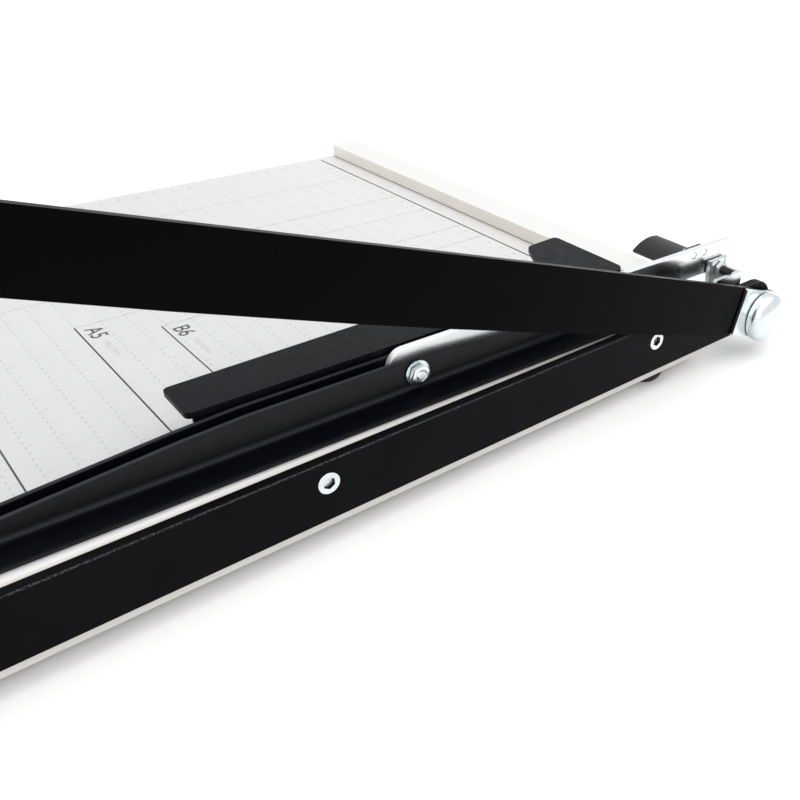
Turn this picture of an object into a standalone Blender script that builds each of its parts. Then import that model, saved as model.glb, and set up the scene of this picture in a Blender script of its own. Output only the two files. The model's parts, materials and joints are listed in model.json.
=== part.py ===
"""Guillotine paper cutter for B4 sheets, with its arm raised part of the way.

Metres, +Z up. Shapes are drawn from the table's zero corner: X = 0 is the cut
line with +X to the right, Y = 0 is the foot of the fence with +Y to the rear,
and Z = 0 is the table top. The finished cutter then stands on Z = 0 with the
middle of its outline over the origin.
"""

import math

import bmesh
import bpy
from mathutils import Euler, Matrix, Vector

# Fits
GAP = 0.0003
OVERRUN = 0.004
MERGE = 0.00001
SOFT_EDGE = 0.0003
FLAT_ANGLE = 0.5

# Tray, which is the table with its folded walls
TRAY_WIDTH = 0.3015
TRAY_DEPTH = 0.390
TRAY_HEIGHT = 0.031
TRAY_SHEET = 0.0012
TRAY_FOLD = 0.002
RIM_WIDTH = 0.024

# Braces under the table
BRACE_SHARES = (0.34, 0.67)
BRACE_WIDTH = 0.026
BRACE_FLANGE = 0.009
BRACE_DEPTH = 0.012
BRACE_SHEET = 0.0012
BRACE_END_SPACE = 0.006

# Fence
FENCE_DEPTH = 0.0175
FENCE_HEIGHT = 0.0072
FENCE_LEFT_SPACE = 0.001
FENCE_LEVER_SPACE = 0.0107
FENCE_CORNER = 0.004
FENCE_EDGE = 0.0007
FENCE_LEDGE = 0.006
FENCE_SCREW_SHARES = (0.08, 0.5, 0.92)
FENCE_SCREW_RADIUS = 0.0018
FENCE_SCREW_HEAD = 0.0036
FENCE_SCREW_HEAD_HEIGHT = 0.0022
FENCE_SCREW_BITE = 0.0045

# Feet
FOOT_TOP_RADIUS = 0.009
FOOT_SOLE_RADIUS = 0.0075
FOOT_HEIGHT = 0.0042
FOOT_EDGE = 0.0012
FOOT_SIDE_SPACE = 0.0095
FOOT_END_SPACE = 0.0315
FOOT_RECESS_RADIUS = 0.0046
FOOT_RECESS_DEPTH = 0.0026
FOOT_SCREW_RADIUS = 0.002
FOOT_SCREW_HEAD = 0.0038
FOOT_SCREW_HEAD_HEIGHT = 0.0022
FOOT_SCREW_END = 0.004

# Fixed blade along the right wall
BLADE_THICK = 0.0042
BLADE_HEIGHT = 0.0235
BLADE_TAIL = 0.0015
BLADE_EDGE = 0.0002
BLADE_SCREW_SHARES = (0.043, 0.458, 0.873)
BLADE_SCREW_DEPTH = 0.009
BLADE_SCREW_RADIUS = 0.0022
BLADE_SCREW_HEAD = 0.0042
BLADE_SCREW_CONE = 0.0021
BLADE_SCREW_SOCKET = 0.004
BLADE_SCREW_SOCKET_DEPTH = 0.0016
BLADE_SCREW_END = 0.0012
BLADE_NUT_ACROSS = 0.008
BLADE_NUT_THICK = 0.0034
FLUSH_DROP = 0.0002

# Pivot of the arm
PIVOT_BEHIND = 0.052
PIVOT_DEPTH = 0.015
PIVOT_RADIUS = 0.004
PIVOT_HEAD_RADIUS = 0.012
PIVOT_HEAD_SIDE = 0.0022
PIVOT_HEAD_HEIGHT = 0.0088
PIVOT_HEAD_ROUNDNESS = 2.5
PIVOT_WASHER_RADIUS = 0.0075
PIVOT_WASHER_THICK = 0.0015
PIVOT_SPRING_SPACE = 0.0105
PIVOT_SPRING_RADIUS = 0.0058
PIVOT_SPRING_WIRE = 0.0008
PIVOT_SPRING_CURLS = 4
PIVOT_NUT_ACROSS = 0.013
PIVOT_NUT_THICK = 0.0065
PIVOT_END = 0.0025

# Arm
ARM_OPEN = math.radians(19.2)
ARM_THICK = 0.003
ARM_ABOVE = 0.01206
ARM_REAR_BELOW = 0.01105
ARM_BELLY_BELOW = 0.0136
ARM_FRONT_BELOW = 0.004
ARM_BELLY_SHARE = 0.366
ARM_TAIL = 0.013
ARM_TAIL_CORNER = 0.005
ARM_SHOULDER_CORNER = 0.002
TANG_HEIGHT = 0.0125
TANG_LENGTH = 0.090

# Plate on the arm at the pivot
PLATE_LENGTH = 0.038
PLATE_HEIGHT = 0.0231
PLATE_THICK = 0.002
PLATE_FRONT_SHARE = 0.479
PLATE_CORNER = 0.001

# Grip
GRIP_SPACE = 0.006
GRIP_LENGTH = 0.116
GRIP_RADIUS = 0.0145
GRIP_LENGTH_SHARES = (1.0, 0.995, 0.975, 0.94, 0.89, 0.82, 0.72, 0.6, 0.45, 0.3, 0.15, 0.05, 0.015, 0.0)
GRIP_RADIUS_SHARES = (0.0, 0.4, 0.7, 0.86, 0.93, 0.93, 0.92, 0.96, 1.0, 0.97, 0.89, 0.84, 0.81, 0.72)
GRIP_SCREW_SHARES = (0.2, 0.62)
GRIP_SCREW_RADIUS = 0.002
GRIP_SCREW_HEAD = 0.0036
GRIP_SCREW_HEAD_HEIGHT = 0.0018
GRIP_SCREW_DEPTH = 0.0024

# Hinge of the clamp lever, behind the table
HINGE_BEHIND = 0.040
HINGE_ABOVE = 0.006
HINGE_LEFT = 0.0178
TOE_IN = math.radians(1.1)
HINGE_BOLT_RADIUS = 0.002
HINGE_BOLT_HEAD = 0.0035
HINGE_BOLT_HEAD_HEIGHT = 0.0026
HINGE_BOLT_END = 0.0042
HINGE_NUT_ACROSS = 0.007
HINGE_NUT_THICK = 0.0022
BRACKET_SHEET = 0.002
BRACKET_LEG_LENGTH = 0.0188
BRACKET_LEG_DROP = 0.020
BRACKET_WEB_TOP = 0.0062
BRACKET_WEB_DROP = 0.006
BRACKET_CHEEK_FRONT = 0.007
BRACKET_CHEEK_ABOVE = 0.005
BRACKET_CHEEK_SPACE = 0.0006
BRACKET_SCREW_FRONT = 0.006
BRACKET_SCREW_DEPTHS = (0.0065, 0.0165)
BRACKET_SCREW_RADIUS = 0.002
BRACKET_SCREW_HEAD = 0.0038
BRACKET_SCREW_CONE = 0.0019
BRACKET_SCREW_END = 0.0015

# Clamp lever
LEVER_THICK = 0.003
LEVER_HEIGHT = 0.0138
LEVER_TOP = 0.0185
LEVER_REACH = 0.174
LEVER_TAIL = 0.0085
LEVER_LUG_RADIUS = 0.006
RIVET_RADIUS = 0.002
RIVET_HEAD = 0.0032
RIVET_HEAD_HEIGHT = 0.001

# Press plate beside the lever
PRESS_THICK = 0.0022
PRESS_FRONT = 0.2114
PRESS_REAR = 0.017
PRESS_SPACE = 0.0018
PRESS_FINGER_FRONT_WIDTH = 0.0203
PRESS_FINGER_REAR_WIDTH = 0.0249
PRESS_PAD_WIDTH = 0.0465
PRESS_PAD_LENGTH = 0.027
PRESS_PAD_SIDE = 0.0185
PRESS_PAD_TAPER = 0.0018
PRESS_SHOULDER = 0.011
PRESS_STEP = 0.004
PRESS_CORNER = 0.0045
PRESS_FRONT_CORNER = 0.0023
PRESS_FLANGE_FRONT = 0.060
PRESS_FLANGE_REAR = 0.022
PRESS_FLANGE_BOTTOM = 0.0065
PRESS_LIP_FRONT = 0.209
PRESS_LIP_REAR = 0.066
PRESS_LIP_THICK = 0.0014
PRESS_LIP_BOTTOM = 0.0137
PRESS_RIVET_SHARES = (0.22, 0.78)
PRESS_RIVET_ABOVE = 0.011

# Lifting tab, a curved finger plate riveted to the lever behind the fence
TAB_THICK = 0.0014
TAB_RADIUS = 0.020
TAB_TOP = 0.0131
TAB_CREST_BEHIND = 0.0311
TAB_FRONT_BEHIND = 0.0183
TAB_REAR_BEHIND = 0.0350
TAB_LENGTH = 0.0308
TAB_FLANGE_FRONT = 0.0203
TAB_FLANGE_REAR = 0.0342
TAB_FLANGE_TOP = 0.0182
TAB_FLANGE_CORNER = 0.002
TAB_RIVET_SHARES = (0.24, 0.76)
TAB_RIVET_ABOVE = 0.0157
TAB_RIVET_RADIUS = 0.0014
TAB_RIVET_HEAD = 0.0022

# Clamp bar, an open channel with a flange towards the blade
CLAMP_FRONT = 0.3545
CLAMP_REAR = 0.008
CLAMP_UNDER = 0.0012
CLAMP_FLOOR = 0.0014
CLAMP_WALL = 0.0017
CLAMP_SLOT = 0.0048
CLAMP_LEFT_PLAY = 0.0008
CLAMP_FLANGE = 0.0109
CLAMP_WALL_TOP = 0.0154
CLAMP_WALL_REAR_TOP = 0.005
CLAMP_WALL_SHOULDER_TOP = 0.0144
CLAMP_WALL_FRONT_TOP = 0.0032
CLAMP_HUMP_BEHIND_BOLT = 0.0062
CLAMP_HUMP_AHEAD_OF_BOLT = 0.0638
CLAMP_SHOULDER_AHEAD_OF_BOLT = 0.0848
CLAMP_CUTBACK = 0.064
PAD_THICK = 0.0006
PAD_INSET = 0.0006
CLAMP_BOLT_INSET = 0.0028
CLAMP_BOLT_ABOVE = 0.0093
CLAMP_BOLT_RADIUS = 0.002
CLAMP_BOLT_ACROSS = 0.007
CLAMP_BOLT_HEAD_HEIGHT = 0.0028
CLAMP_BOLT_DOME = 0.0006
CLAMP_BOLT_END = 0.0004
CLAMP_WASHER_RADIUS = 0.005
CLAMP_WASHER_THICK = 0.0008
CLAMP_NUT_THICK = 0.0022

# Places worked out from the sizes above
TRAY_REAR = FENCE_DEPTH + FENCE_LEDGE
TRAY_FRONT = TRAY_REAR - TRAY_DEPTH
TRAY_RIGHT = -(BLADE_THICK + GAP)
TRAY_LEFT = TRAY_RIGHT - TRAY_WIDTH
TRAY_INSIDE = TRAY_RIGHT - TRAY_SHEET
FOOT_TOP = -(TRAY_HEIGHT + GAP)
ARM_MIDDLE = GAP + ARM_THICK / 2
ARM_FRONT = PIVOT_BEHIND - TRAY_FRONT
PLATE_FACE = GAP + ARM_THICK + GAP + PLATE_THICK
TANG_MIDDLE = (ARM_ABOVE - ARM_FRONT_BELOW) / 2
GRIP_START = ARM_FRONT + GRIP_SPACE
LEVER_FACE = LEVER_THICK / 2
CLAMP_BOLT_REACH = LEVER_REACH - CLAMP_BOLT_INSET
LEVER_MIDDLE = LEVER_TOP - LEVER_HEIGHT / 2
SLOT_LEFT = -(LEVER_FACE + CLAMP_LEFT_PLAY)
SLOT_RIGHT = SLOT_LEFT + CLAMP_SLOT
CLAMP_LEFT = SLOT_LEFT - CLAMP_WALL
CLAMP_RIGHT = SLOT_RIGHT + CLAMP_WALL
CLAMP_EDGE = CLAMP_RIGHT + CLAMP_FLANGE
FLANGE_FACE = -(LEVER_FACE + GAP)

# Directions: a side view's outline is drawn in Y and Z, an end view's in X and Z
SIDE_VIEW = (math.radians(90), 0, math.radians(90))
END_VIEW = (math.radians(90), 0, 0)
ALONG_X = (0, math.radians(90), 0)
UPRIGHT = (0, 0, 0)

# Looks: colour, roughness, metallic
IVORY = ((0.80, 0.78, 0.72), 0.45, 0.0)
BEIGE = ((0.72, 0.68, 0.60), 0.5, 0.0)
BLACK = ((0.012, 0.012, 0.014), 0.38, 0.0)
ZINC = ((0.78, 0.80, 0.79), 0.28, 1.0)
STEEL = ((0.62, 0.63, 0.64), 0.35, 1.0)
RUBBER = ((0.02, 0.02, 0.02), 0.8, 0.0)
GRIP_PLASTIC = ((0.018, 0.018, 0.02), 0.5, 0.0)


def clear_scene():
    for item in list(bpy.data.objects):
        bpy.data.objects.remove(item, do_unlink=True)


def new_collection(name):
    group = bpy.data.collections.new(name)
    bpy.context.scene.collection.children.link(group)
    return group


clear_scene()
PARTS = new_collection("guillotine_paper_cutter")
CUTTERS = new_collection("cutters")


def empty(name, holder=None, spot=(0, 0, 0), turn=UPRIGHT):
    """Add a plain point that carries other objects."""
    point = bpy.data.objects.new(name, None)
    PARTS.objects.link(point)
    point.parent = holder
    point.location = spot
    point.rotation_euler = turn
    return point


def finish(name, look):
    """Make a part's own material."""
    colour, roughness, metallic = look
    material = bpy.data.materials.new(name)
    material.use_nodes = True
    shader = material.node_tree.nodes["Principled BSDF"]
    shader.inputs["Base Color"].default_value = (*colour, 1.0)
    shader.inputs["Roughness"].default_value = roughness
    shader.inputs["Metallic"].default_value = metallic
    return material


def place(name, mesh, look, holder, spot=(0, 0, 0), turn=UPRIGHT):
    """Add a part made of one mesh, held by an empty."""
    part = bpy.data.objects.new(name, mesh)
    PARTS.objects.link(part)
    part.parent = holder
    part.location = spot
    part.rotation_euler = turn
    mesh.materials.clear()
    mesh.materials.append(finish(name, look))
    return part


def copies(name, mesh, look, holder, spots, turn=UPRIGHT):
    """Add the same part once at each spot, numbered from 1."""
    parts = []
    for number, spot in enumerate(spots, 1):
        parts.append(place(name + "_" + str(number), mesh, look, holder, spot, turn))
    return parts


def guide(name, mesh, holder, spot=(0, 0, 0), turn=UPRIGHT):
    """Add a shape that cuts or extends a part and isn't a part itself."""
    shape = bpy.data.objects.new(name, mesh)
    CUTTERS.objects.link(shape)
    shape.parent = holder
    shape.location = spot
    shape.rotation_euler = turn
    shape.hide_render = True
    shape.display_type = "WIRE"
    return shape


def combine(part, other, operation):
    step = part.modifiers.new(operation.lower() + "_" + other.name, "BOOLEAN")
    step.operation = operation
    step.solver = "EXACT"
    step.object = other


def cut(part, other):
    combine(part, other, "DIFFERENCE")


def join(part, other):
    combine(part, other, "UNION")


def soften(part, width, segments=2):
    """Round a part's sharp edges."""
    step = part.modifiers.new("soft_edges", "BEVEL")
    step.width = width
    step.segments = segments
    step.limit_method = "ANGLE"
    step.angle_limit = math.radians(50)


def smooth(mesh):
    mesh.shade_smooth()
    mesh.set_sharp_from_angle(angle=math.radians(35))
    return mesh


def to_mesh(name, shape):
    """Turn a curve or a turned profile into a welded mesh, and drop the shape."""
    bpy.context.scene.collection.objects.link(shape)
    seen = shape.evaluated_get(bpy.context.evaluated_depsgraph_get())
    mesh = bpy.data.meshes.new_from_object(seen)
    mesh.name = name
    bpy.data.objects.remove(shape, do_unlink=True)
    work = bmesh.new()
    work.from_mesh(mesh)
    bmesh.ops.remove_doubles(work, verts=work.verts, dist=MERGE)
    bmesh.ops.recalc_face_normals(work, faces=work.faces)
    work.to_mesh(mesh)
    work.free()
    return smooth(mesh)


def block(name, low, high):
    """A box between two corners."""
    size = Vector(high) - Vector(low)
    work = bmesh.new()
    bmesh.ops.create_cube(work, size=1)
    bmesh.ops.scale(work, vec=size, verts=work.verts)
    bmesh.ops.translate(work, vec=Vector(low) + size / 2, verts=work.verts)
    mesh = bpy.data.meshes.new(name)
    work.to_mesh(mesh)
    work.free()
    return mesh


def rod(name, radius, start, end, sides=16):
    """A cylinder along its own Z axis, or a prism with few sides."""
    work = bmesh.new()
    bmesh.ops.create_cone(work, cap_ends=True, segments=sides, radius1=radius, radius2=radius,
                          depth=end - start)
    bmesh.ops.translate(work, vec=(0, 0, (start + end) / 2), verts=work.verts)
    mesh = bpy.data.meshes.new(name)
    work.to_mesh(mesh)
    work.free()
    return smooth(mesh)


def hexagon(name, across, start, end, spin=0):
    """A hexagonal prism by its width across flats; without spin two corners lie on Y."""
    mesh = rod(name, across / math.sqrt(3), start, end, sides=6)
    mesh.transform(Matrix.Rotation(spin, 4, "Z"))
    return mesh


def slab(name, outline, thickness):
    """A flat outline filled and given a thickness, half to each side."""
    curve = bpy.data.curves.new(name, "CURVE")
    curve.dimensions = "2D"
    curve.fill_mode = "BOTH"
    curve.extrude = thickness / 2
    spline = curve.splines.new("POLY")
    spline.points.add(len(outline) - 1)
    for point, (across, along) in zip(spline.points, outline):
        point.co = (across, along, 0, 1)
    spline.use_cyclic_u = True
    return merge_flats(to_mesh(name, bpy.data.objects.new(name, curve)))


def merge_flats(mesh):
    """Make each flat side one face."""
    work = bmesh.new()
    work.from_mesh(mesh)
    bmesh.ops.dissolve_limit(work, angle_limit=math.radians(FLAT_ANGLE), verts=work.verts,
                             edges=work.edges)
    work.to_mesh(mesh)
    work.free()
    return mesh


def turned(name, profile, closed=False, steps=16):
    """Turn a profile of (radius, height) points, from the top down, about Z."""
    points = [(radius, 0, height) for radius, height in profile]
    edges = [(i, i + 1) for i in range(len(points) - 1)]
    if closed:
        edges.append((len(points) - 1, 0))
    mesh = bpy.data.meshes.new(name)
    mesh.from_pydata(points, edges, [])
    shape = bpy.data.objects.new(name, mesh)
    screw = shape.modifiers.new("turn", "SCREW")
    screw.steps = steps
    screw.render_steps = steps
    screw.use_merge_vertices = True
    screw.merge_threshold = MERGE
    return to_mesh(name, shape)


def ring(name, outer, inner, start, end):
    """A washer or tube along Z."""
    return turned(name, [(outer, end), (outer, start), (inner, start), (inner, end)], closed=True)


def tube(name, route, radius):
    """A round wire along a list of points."""
    curve = bpy.data.curves.new(name, "CURVE")
    curve.dimensions = "3D"
    curve.bevel_depth = radius
    curve.bevel_resolution = 1
    curve.use_fill_caps = True
    spline = curve.splines.new("POLY")
    spline.points.add(len(route) - 1)
    for point, place_on_route in zip(spline.points, route):
        point.co = (*place_on_route, 1)
    return to_mesh(name, bpy.data.objects.new(name, curve))


def repeated(name, mesh, spots, turn=UPRIGHT):
    """One mesh with a copy of a cutter at each spot."""
    work = bmesh.new()
    for spot in spots:
        piece = mesh.copy()
        piece.transform(Matrix.Translation(spot) @ Euler(turn).to_matrix().to_4x4())
        work.from_mesh(piece)
        bpy.data.meshes.remove(piece)
    group = bpy.data.meshes.new(name)
    work.to_mesh(group)
    work.free()
    return group


def arc(middle, radius, start, end, steps=8):
    """Points on an arc; the angles are in degrees."""
    points = []
    for step in range(steps + 1):
        angle = math.radians(start + (end - start) * step / steps)
        points.append((middle[0] + radius * math.cos(angle), middle[1] + radius * math.sin(angle)))
    return points


def rounded(corners, steps=5):
    """Round an outline's corners; each corner is (across, along, radius)."""
    points = []
    count = len(corners)
    for index, (across, along, radius) in enumerate(corners):
        here = Vector((across, along))
        if not radius:
            points.append(tuple(here))
            continue
        before = (Vector(corners[index - 1][:2]) - here).normalized()
        after = (Vector(corners[(index + 1) % count][:2]) - here).normalized()
        half = before.angle(after) / 2
        middle = here + (before + after).normalized() * radius / math.sin(half)
        start = here + before * radius / math.tan(half) - middle
        end = here + after * radius / math.tan(half) - middle
        turn = start.angle_signed(end)
        for step in range(steps + 1):
            share = turn * step / steps
            points.append(tuple(middle + Matrix.Rotation(-share, 2) @ start))
    return points


def bore(part, radius, start, end, spot, holder, turn=ALONG_X, sides=16):
    """Drill a round hole through a part."""
    name = "hole_" + part.name + "_" + str(len(CUTTERS.objects))
    cut(part, guide(name, rod(name, radius, start, end, sides), holder, spot, turn))


CUTTER = empty("cutter")
ARM_PIVOT = empty("arm_pivot", CUTTER, (0, PIVOT_BEHIND, -PIVOT_DEPTH), (-ARM_OPEN, 0, 0))
HINGE_SPOT = (-HINGE_LEFT, HINGE_BEHIND, HINGE_ABOVE)
CLAMP_LIFT = empty("clamp_lift", CUTTER, HINGE_SPOT, (0, 0, -TOE_IN))
BOLT_SPOT = (0, -CLAMP_BOLT_REACH, CLAMP_BOLT_ABOVE - HINGE_ABOVE)
BAR_PIVOT = empty("bar_pivot", CLAMP_LIFT, BOLT_SPOT)


def make_tray():
    """The table: an open box of folded sheet with an inward rim."""
    work = bmesh.new()
    bmesh.ops.create_cube(work, size=1)
    bmesh.ops.scale(work, vec=(TRAY_WIDTH, TRAY_DEPTH, TRAY_HEIGHT), verts=work.verts)
    underside = min(work.faces, key=lambda face: face.calc_center_median().z)
    bmesh.ops.delete(work, geom=[underside], context="FACES_ONLY")
    border = [edge for edge in work.edges if edge.is_boundary]
    rim = bmesh.ops.extrude_edge_only(work, edges=border)["geom"]
    for vert in (item for item in rim if isinstance(item, bmesh.types.BMVert)):
        vert.co.x -= math.copysign(RIM_WIDTH, vert.co.x)
        vert.co.y -= math.copysign(RIM_WIDTH, vert.co.y)
    bmesh.ops.recalc_face_normals(work, faces=work.faces)
    mesh = bpy.data.meshes.new("base_tray")
    work.to_mesh(mesh)
    work.free()
    middle = ((TRAY_LEFT + TRAY_RIGHT) / 2, (TRAY_FRONT + TRAY_REAR) / 2, -TRAY_HEIGHT / 2)
    tray = place("base_tray", mesh, IVORY, CUTTER, middle)
    soften(tray, TRAY_FOLD, segments=3)
    shell = tray.modifiers.new("sheet", "SOLIDIFY")
    shell.thickness = TRAY_SHEET
    shell.offset = -1
    shell.use_even_offset = True
    for along in blade_screw_places():
        bore(tray, BLADE_SCREW_RADIUS + GAP, -OVERRUN, OVERRUN, (TRAY_RIGHT, along, -BLADE_SCREW_DEPTH),
             CUTTER)
    for across in fence_screw_places():
        bore(tray, FENCE_SCREW_RADIUS + GAP, -OVERRUN, OVERRUN, (across, FENCE_DEPTH / 2, 0), CUTTER,
             UPRIGHT)
    for across, along in foot_places():
        bore(tray, FOOT_SCREW_RADIUS + GAP, -OVERRUN, OVERRUN, (across, along, -TRAY_HEIGHT), CUTTER,
             UPRIGHT)


def blade_screw_places():
    return [-share * TRAY_DEPTH for share in BLADE_SCREW_SHARES]


def fence_ends():
    left = TRAY_LEFT + FENCE_LEFT_SPACE
    right = -HINGE_LEFT - LEVER_FACE - FENCE_LEVER_SPACE
    return left, right


def fence_screw_places():
    left, right = fence_ends()
    return [left + share * (right - left) for share in FENCE_SCREW_SHARES]


def foot_places():
    places = []
    for across in (TRAY_RIGHT - FOOT_SIDE_SPACE, TRAY_LEFT + FOOT_SIDE_SPACE):
        for along in (TRAY_REAR - FOOT_END_SPACE, TRAY_FRONT + FOOT_END_SPACE):
            places.append((across, along))
    return places


def make_braces():
    """Two hat-shaped stiffeners, spot-welded under the table."""
    top = -(TRAY_SHEET + GAP)
    outer = BRACE_WIDTH / 2
    inner = outer - BRACE_SHEET
    tip = outer + BRACE_FLANGE
    fold = top - BRACE_SHEET
    bottom = top - BRACE_DEPTH
    outline = [(-tip, top), (-inner, top), (-inner, bottom + BRACE_SHEET), (inner, bottom + BRACE_SHEET),
               (inner, top), (tip, top), (tip, fold), (outer, fold), (outer, bottom), (-outer, bottom),
               (-outer, fold), (-tip, fold)]
    length = TRAY_WIDTH - (TRAY_SHEET + BRACE_END_SPACE) * 2
    middle = (TRAY_LEFT + TRAY_RIGHT) / 2
    spots = [(middle, TRAY_REAR - share * TRAY_DEPTH, 0) for share in BRACE_SHARES]
    brace = slab("brace", outline, length)
    copies("tray_brace", brace, IVORY, CUTTER, spots, SIDE_VIEW)


def make_fence():
    """The bar at the rear that sheets are pushed against, screwed from below."""
    left, right = fence_ends()
    outline = rounded([(left, 0, FENCE_CORNER), (right, 0, 0), (right, FENCE_DEPTH, 0),
                       (left, FENCE_DEPTH, FENCE_CORNER)])
    fence = place("fence", slab("fence", outline, FENCE_HEIGHT), BEIGE, CUTTER,
                  (0, 0, GAP + FENCE_HEIGHT / 2))
    soften(fence, FENCE_EDGE)
    spots = [(across, FENCE_DEPTH / 2, 0) for across in fence_screw_places()]
    bite = GAP + FENCE_SCREW_BITE
    for spot in spots:
        bore(fence, FENCE_SCREW_RADIUS + GAP, -OVERRUN, bite + GAP, spot, CUTTER, UPRIGHT)
    seat = -(TRAY_SHEET + GAP)
    screw = turned("fence_screw", [(0, bite), (FENCE_SCREW_RADIUS, bite), (FENCE_SCREW_RADIUS, seat),
                                   (FENCE_SCREW_HEAD, seat),
                                   (FENCE_SCREW_HEAD, seat - FENCE_SCREW_HEAD_HEIGHT / 2),
                                   (FENCE_SCREW_RADIUS, seat - FENCE_SCREW_HEAD_HEIGHT),
                                   (0, seat - FENCE_SCREW_HEAD_HEIGHT)], steps=12)
    copies("fence_screw", screw, STEEL, CUTTER, spots)


def make_feet():
    """Four rubber feet under the rim, each with a sunk screw."""
    sole = -FOOT_HEIGHT
    recess = sole + FOOT_RECESS_DEPTH
    hole = FOOT_SCREW_RADIUS + GAP
    foot = turned("foot", [(FOOT_TOP_RADIUS, 0), (FOOT_SOLE_RADIUS, sole + FOOT_EDGE),
                           (FOOT_SOLE_RADIUS - FOOT_EDGE, sole), (FOOT_RECESS_RADIUS, sole),
                           (FOOT_RECESS_RADIUS, recess), (hole, recess), (hole, 0)], closed=True, steps=20)
    spots = [(across, along, FOOT_TOP) for across, along in foot_places()]
    copies("rubber_foot", foot, RUBBER, CUTTER, spots)
    seat = recess - GAP
    end = GAP + TRAY_SHEET + FOOT_SCREW_END
    screw = turned("foot_screw", [(0, end), (FOOT_SCREW_RADIUS, end), (FOOT_SCREW_RADIUS, seat),
                                  (FOOT_SCREW_HEAD, seat),
                                  (FOOT_SCREW_HEAD, seat - FOOT_SCREW_HEAD_HEIGHT / 2),
                                  (FOOT_SCREW_RADIUS, seat - FOOT_SCREW_HEAD_HEIGHT),
                                  (0, seat - FOOT_SCREW_HEAD_HEIGHT)], steps=12)
    copies("foot_screw", screw, STEEL, CUTTER, spots)


def flat_head(radius, head, cone, end, clearance=0.0):
    """Profile of a countersunk screw, or with a clearance of the hole for it."""
    top = OVERRUN if clearance else -FLUSH_DROP
    profile = [(0, top), (head + clearance, top)]
    if clearance:
        profile.append((head + clearance, -FLUSH_DROP))
    profile += [(radius + clearance, -FLUSH_DROP - cone), (radius + clearance, end), (0, end)]
    return profile


def make_fixed_blade():
    """The straight blade that the arm shears against, with its screws and nuts."""
    half = BLADE_HEIGHT / 2
    rear = PIVOT_BEHIND + BLADE_TAIL
    outline = [(TRAY_FRONT, 0), (TRAY_FRONT, -BLADE_HEIGHT)]
    outline += arc((rear, -half), half, -90, 90, 12)
    blade = place("fixed_blade", slab("fixed_blade", outline, BLADE_THICK), BLACK, CUTTER,
                  (-BLADE_THICK / 2, 0, 0), SIDE_VIEW)
    soften(blade, BLADE_EDGE)
    spots = [(0, along, -BLADE_SCREW_DEPTH) for along in blade_screw_places()]
    sink = turned("blade_sink", flat_head(BLADE_SCREW_RADIUS, BLADE_SCREW_HEAD, BLADE_SCREW_CONE,
                                          -BLADE_THICK - OVERRUN, GAP))
    cut(blade, guide("blade_sinks", repeated("blade_sinks", sink, spots, ALONG_X), CUTTER))
    seats = [(0, HINGE_BEHIND - BRACKET_SCREW_FRONT, -depth) for depth in BRACKET_SCREW_DEPTHS]
    sink = turned("bracket_sink", flat_head(BRACKET_SCREW_RADIUS, BRACKET_SCREW_HEAD, BRACKET_SCREW_CONE,
                                            -BLADE_THICK - OVERRUN, GAP))
    cut(blade, guide("bracket_sinks", repeated("bracket_sinks", sink, seats, ALONG_X), CUTTER))
    bore(blade, PIVOT_RADIUS + GAP, -BLADE_THICK - OVERRUN, OVERRUN, (0, PIVOT_BEHIND, -PIVOT_DEPTH),
         CUTTER, sides=24)

    nut_face = TRAY_INSIDE - GAP
    nut_end = nut_face - BLADE_NUT_THICK
    screw = turned("blade_screw", flat_head(BLADE_SCREW_RADIUS, BLADE_SCREW_HEAD, BLADE_SCREW_CONE,
                                            nut_end - BLADE_SCREW_END))
    socket = hexagon("socket", BLADE_SCREW_SOCKET, -BLADE_SCREW_SOCKET_DEPTH, OVERRUN)
    sockets = guide("blade_sockets", repeated("blade_sockets", socket, spots, ALONG_X), CUTTER)
    for part in copies("fixed_blade_screw", screw, ZINC, CUTTER, spots, ALONG_X):
        cut(part, sockets)

    nut = hexagon("fixed_blade_nut", BLADE_NUT_ACROSS, nut_end, nut_face)
    hole = rod("nut_hole", BLADE_SCREW_RADIUS + GAP, nut_end - OVERRUN, nut_face + OVERRUN)
    holes = guide("blade_nut_holes", repeated("blade_nut_holes", hole, spots, ALONG_X), CUTTER)
    for part in copies("fixed_blade_nut", nut, STEEL, CUTTER, spots, ALONG_X):
        cut(part, holes)


def arm_edge(along):
    """Height of the arm's cutting edge at a distance from the pivot."""
    belly = ARM_BELLY_SHARE * ARM_FRONT
    if along < belly:
        rise = (ARM_BELLY_BELOW - ARM_REAR_BELOW) * ((belly - along) / belly) ** 2
    else:
        rise = (ARM_BELLY_BELOW - ARM_FRONT_BELOW) * ((along - belly) / (ARM_FRONT - belly)) ** 2
    return rise - ARM_BELLY_BELOW


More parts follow.
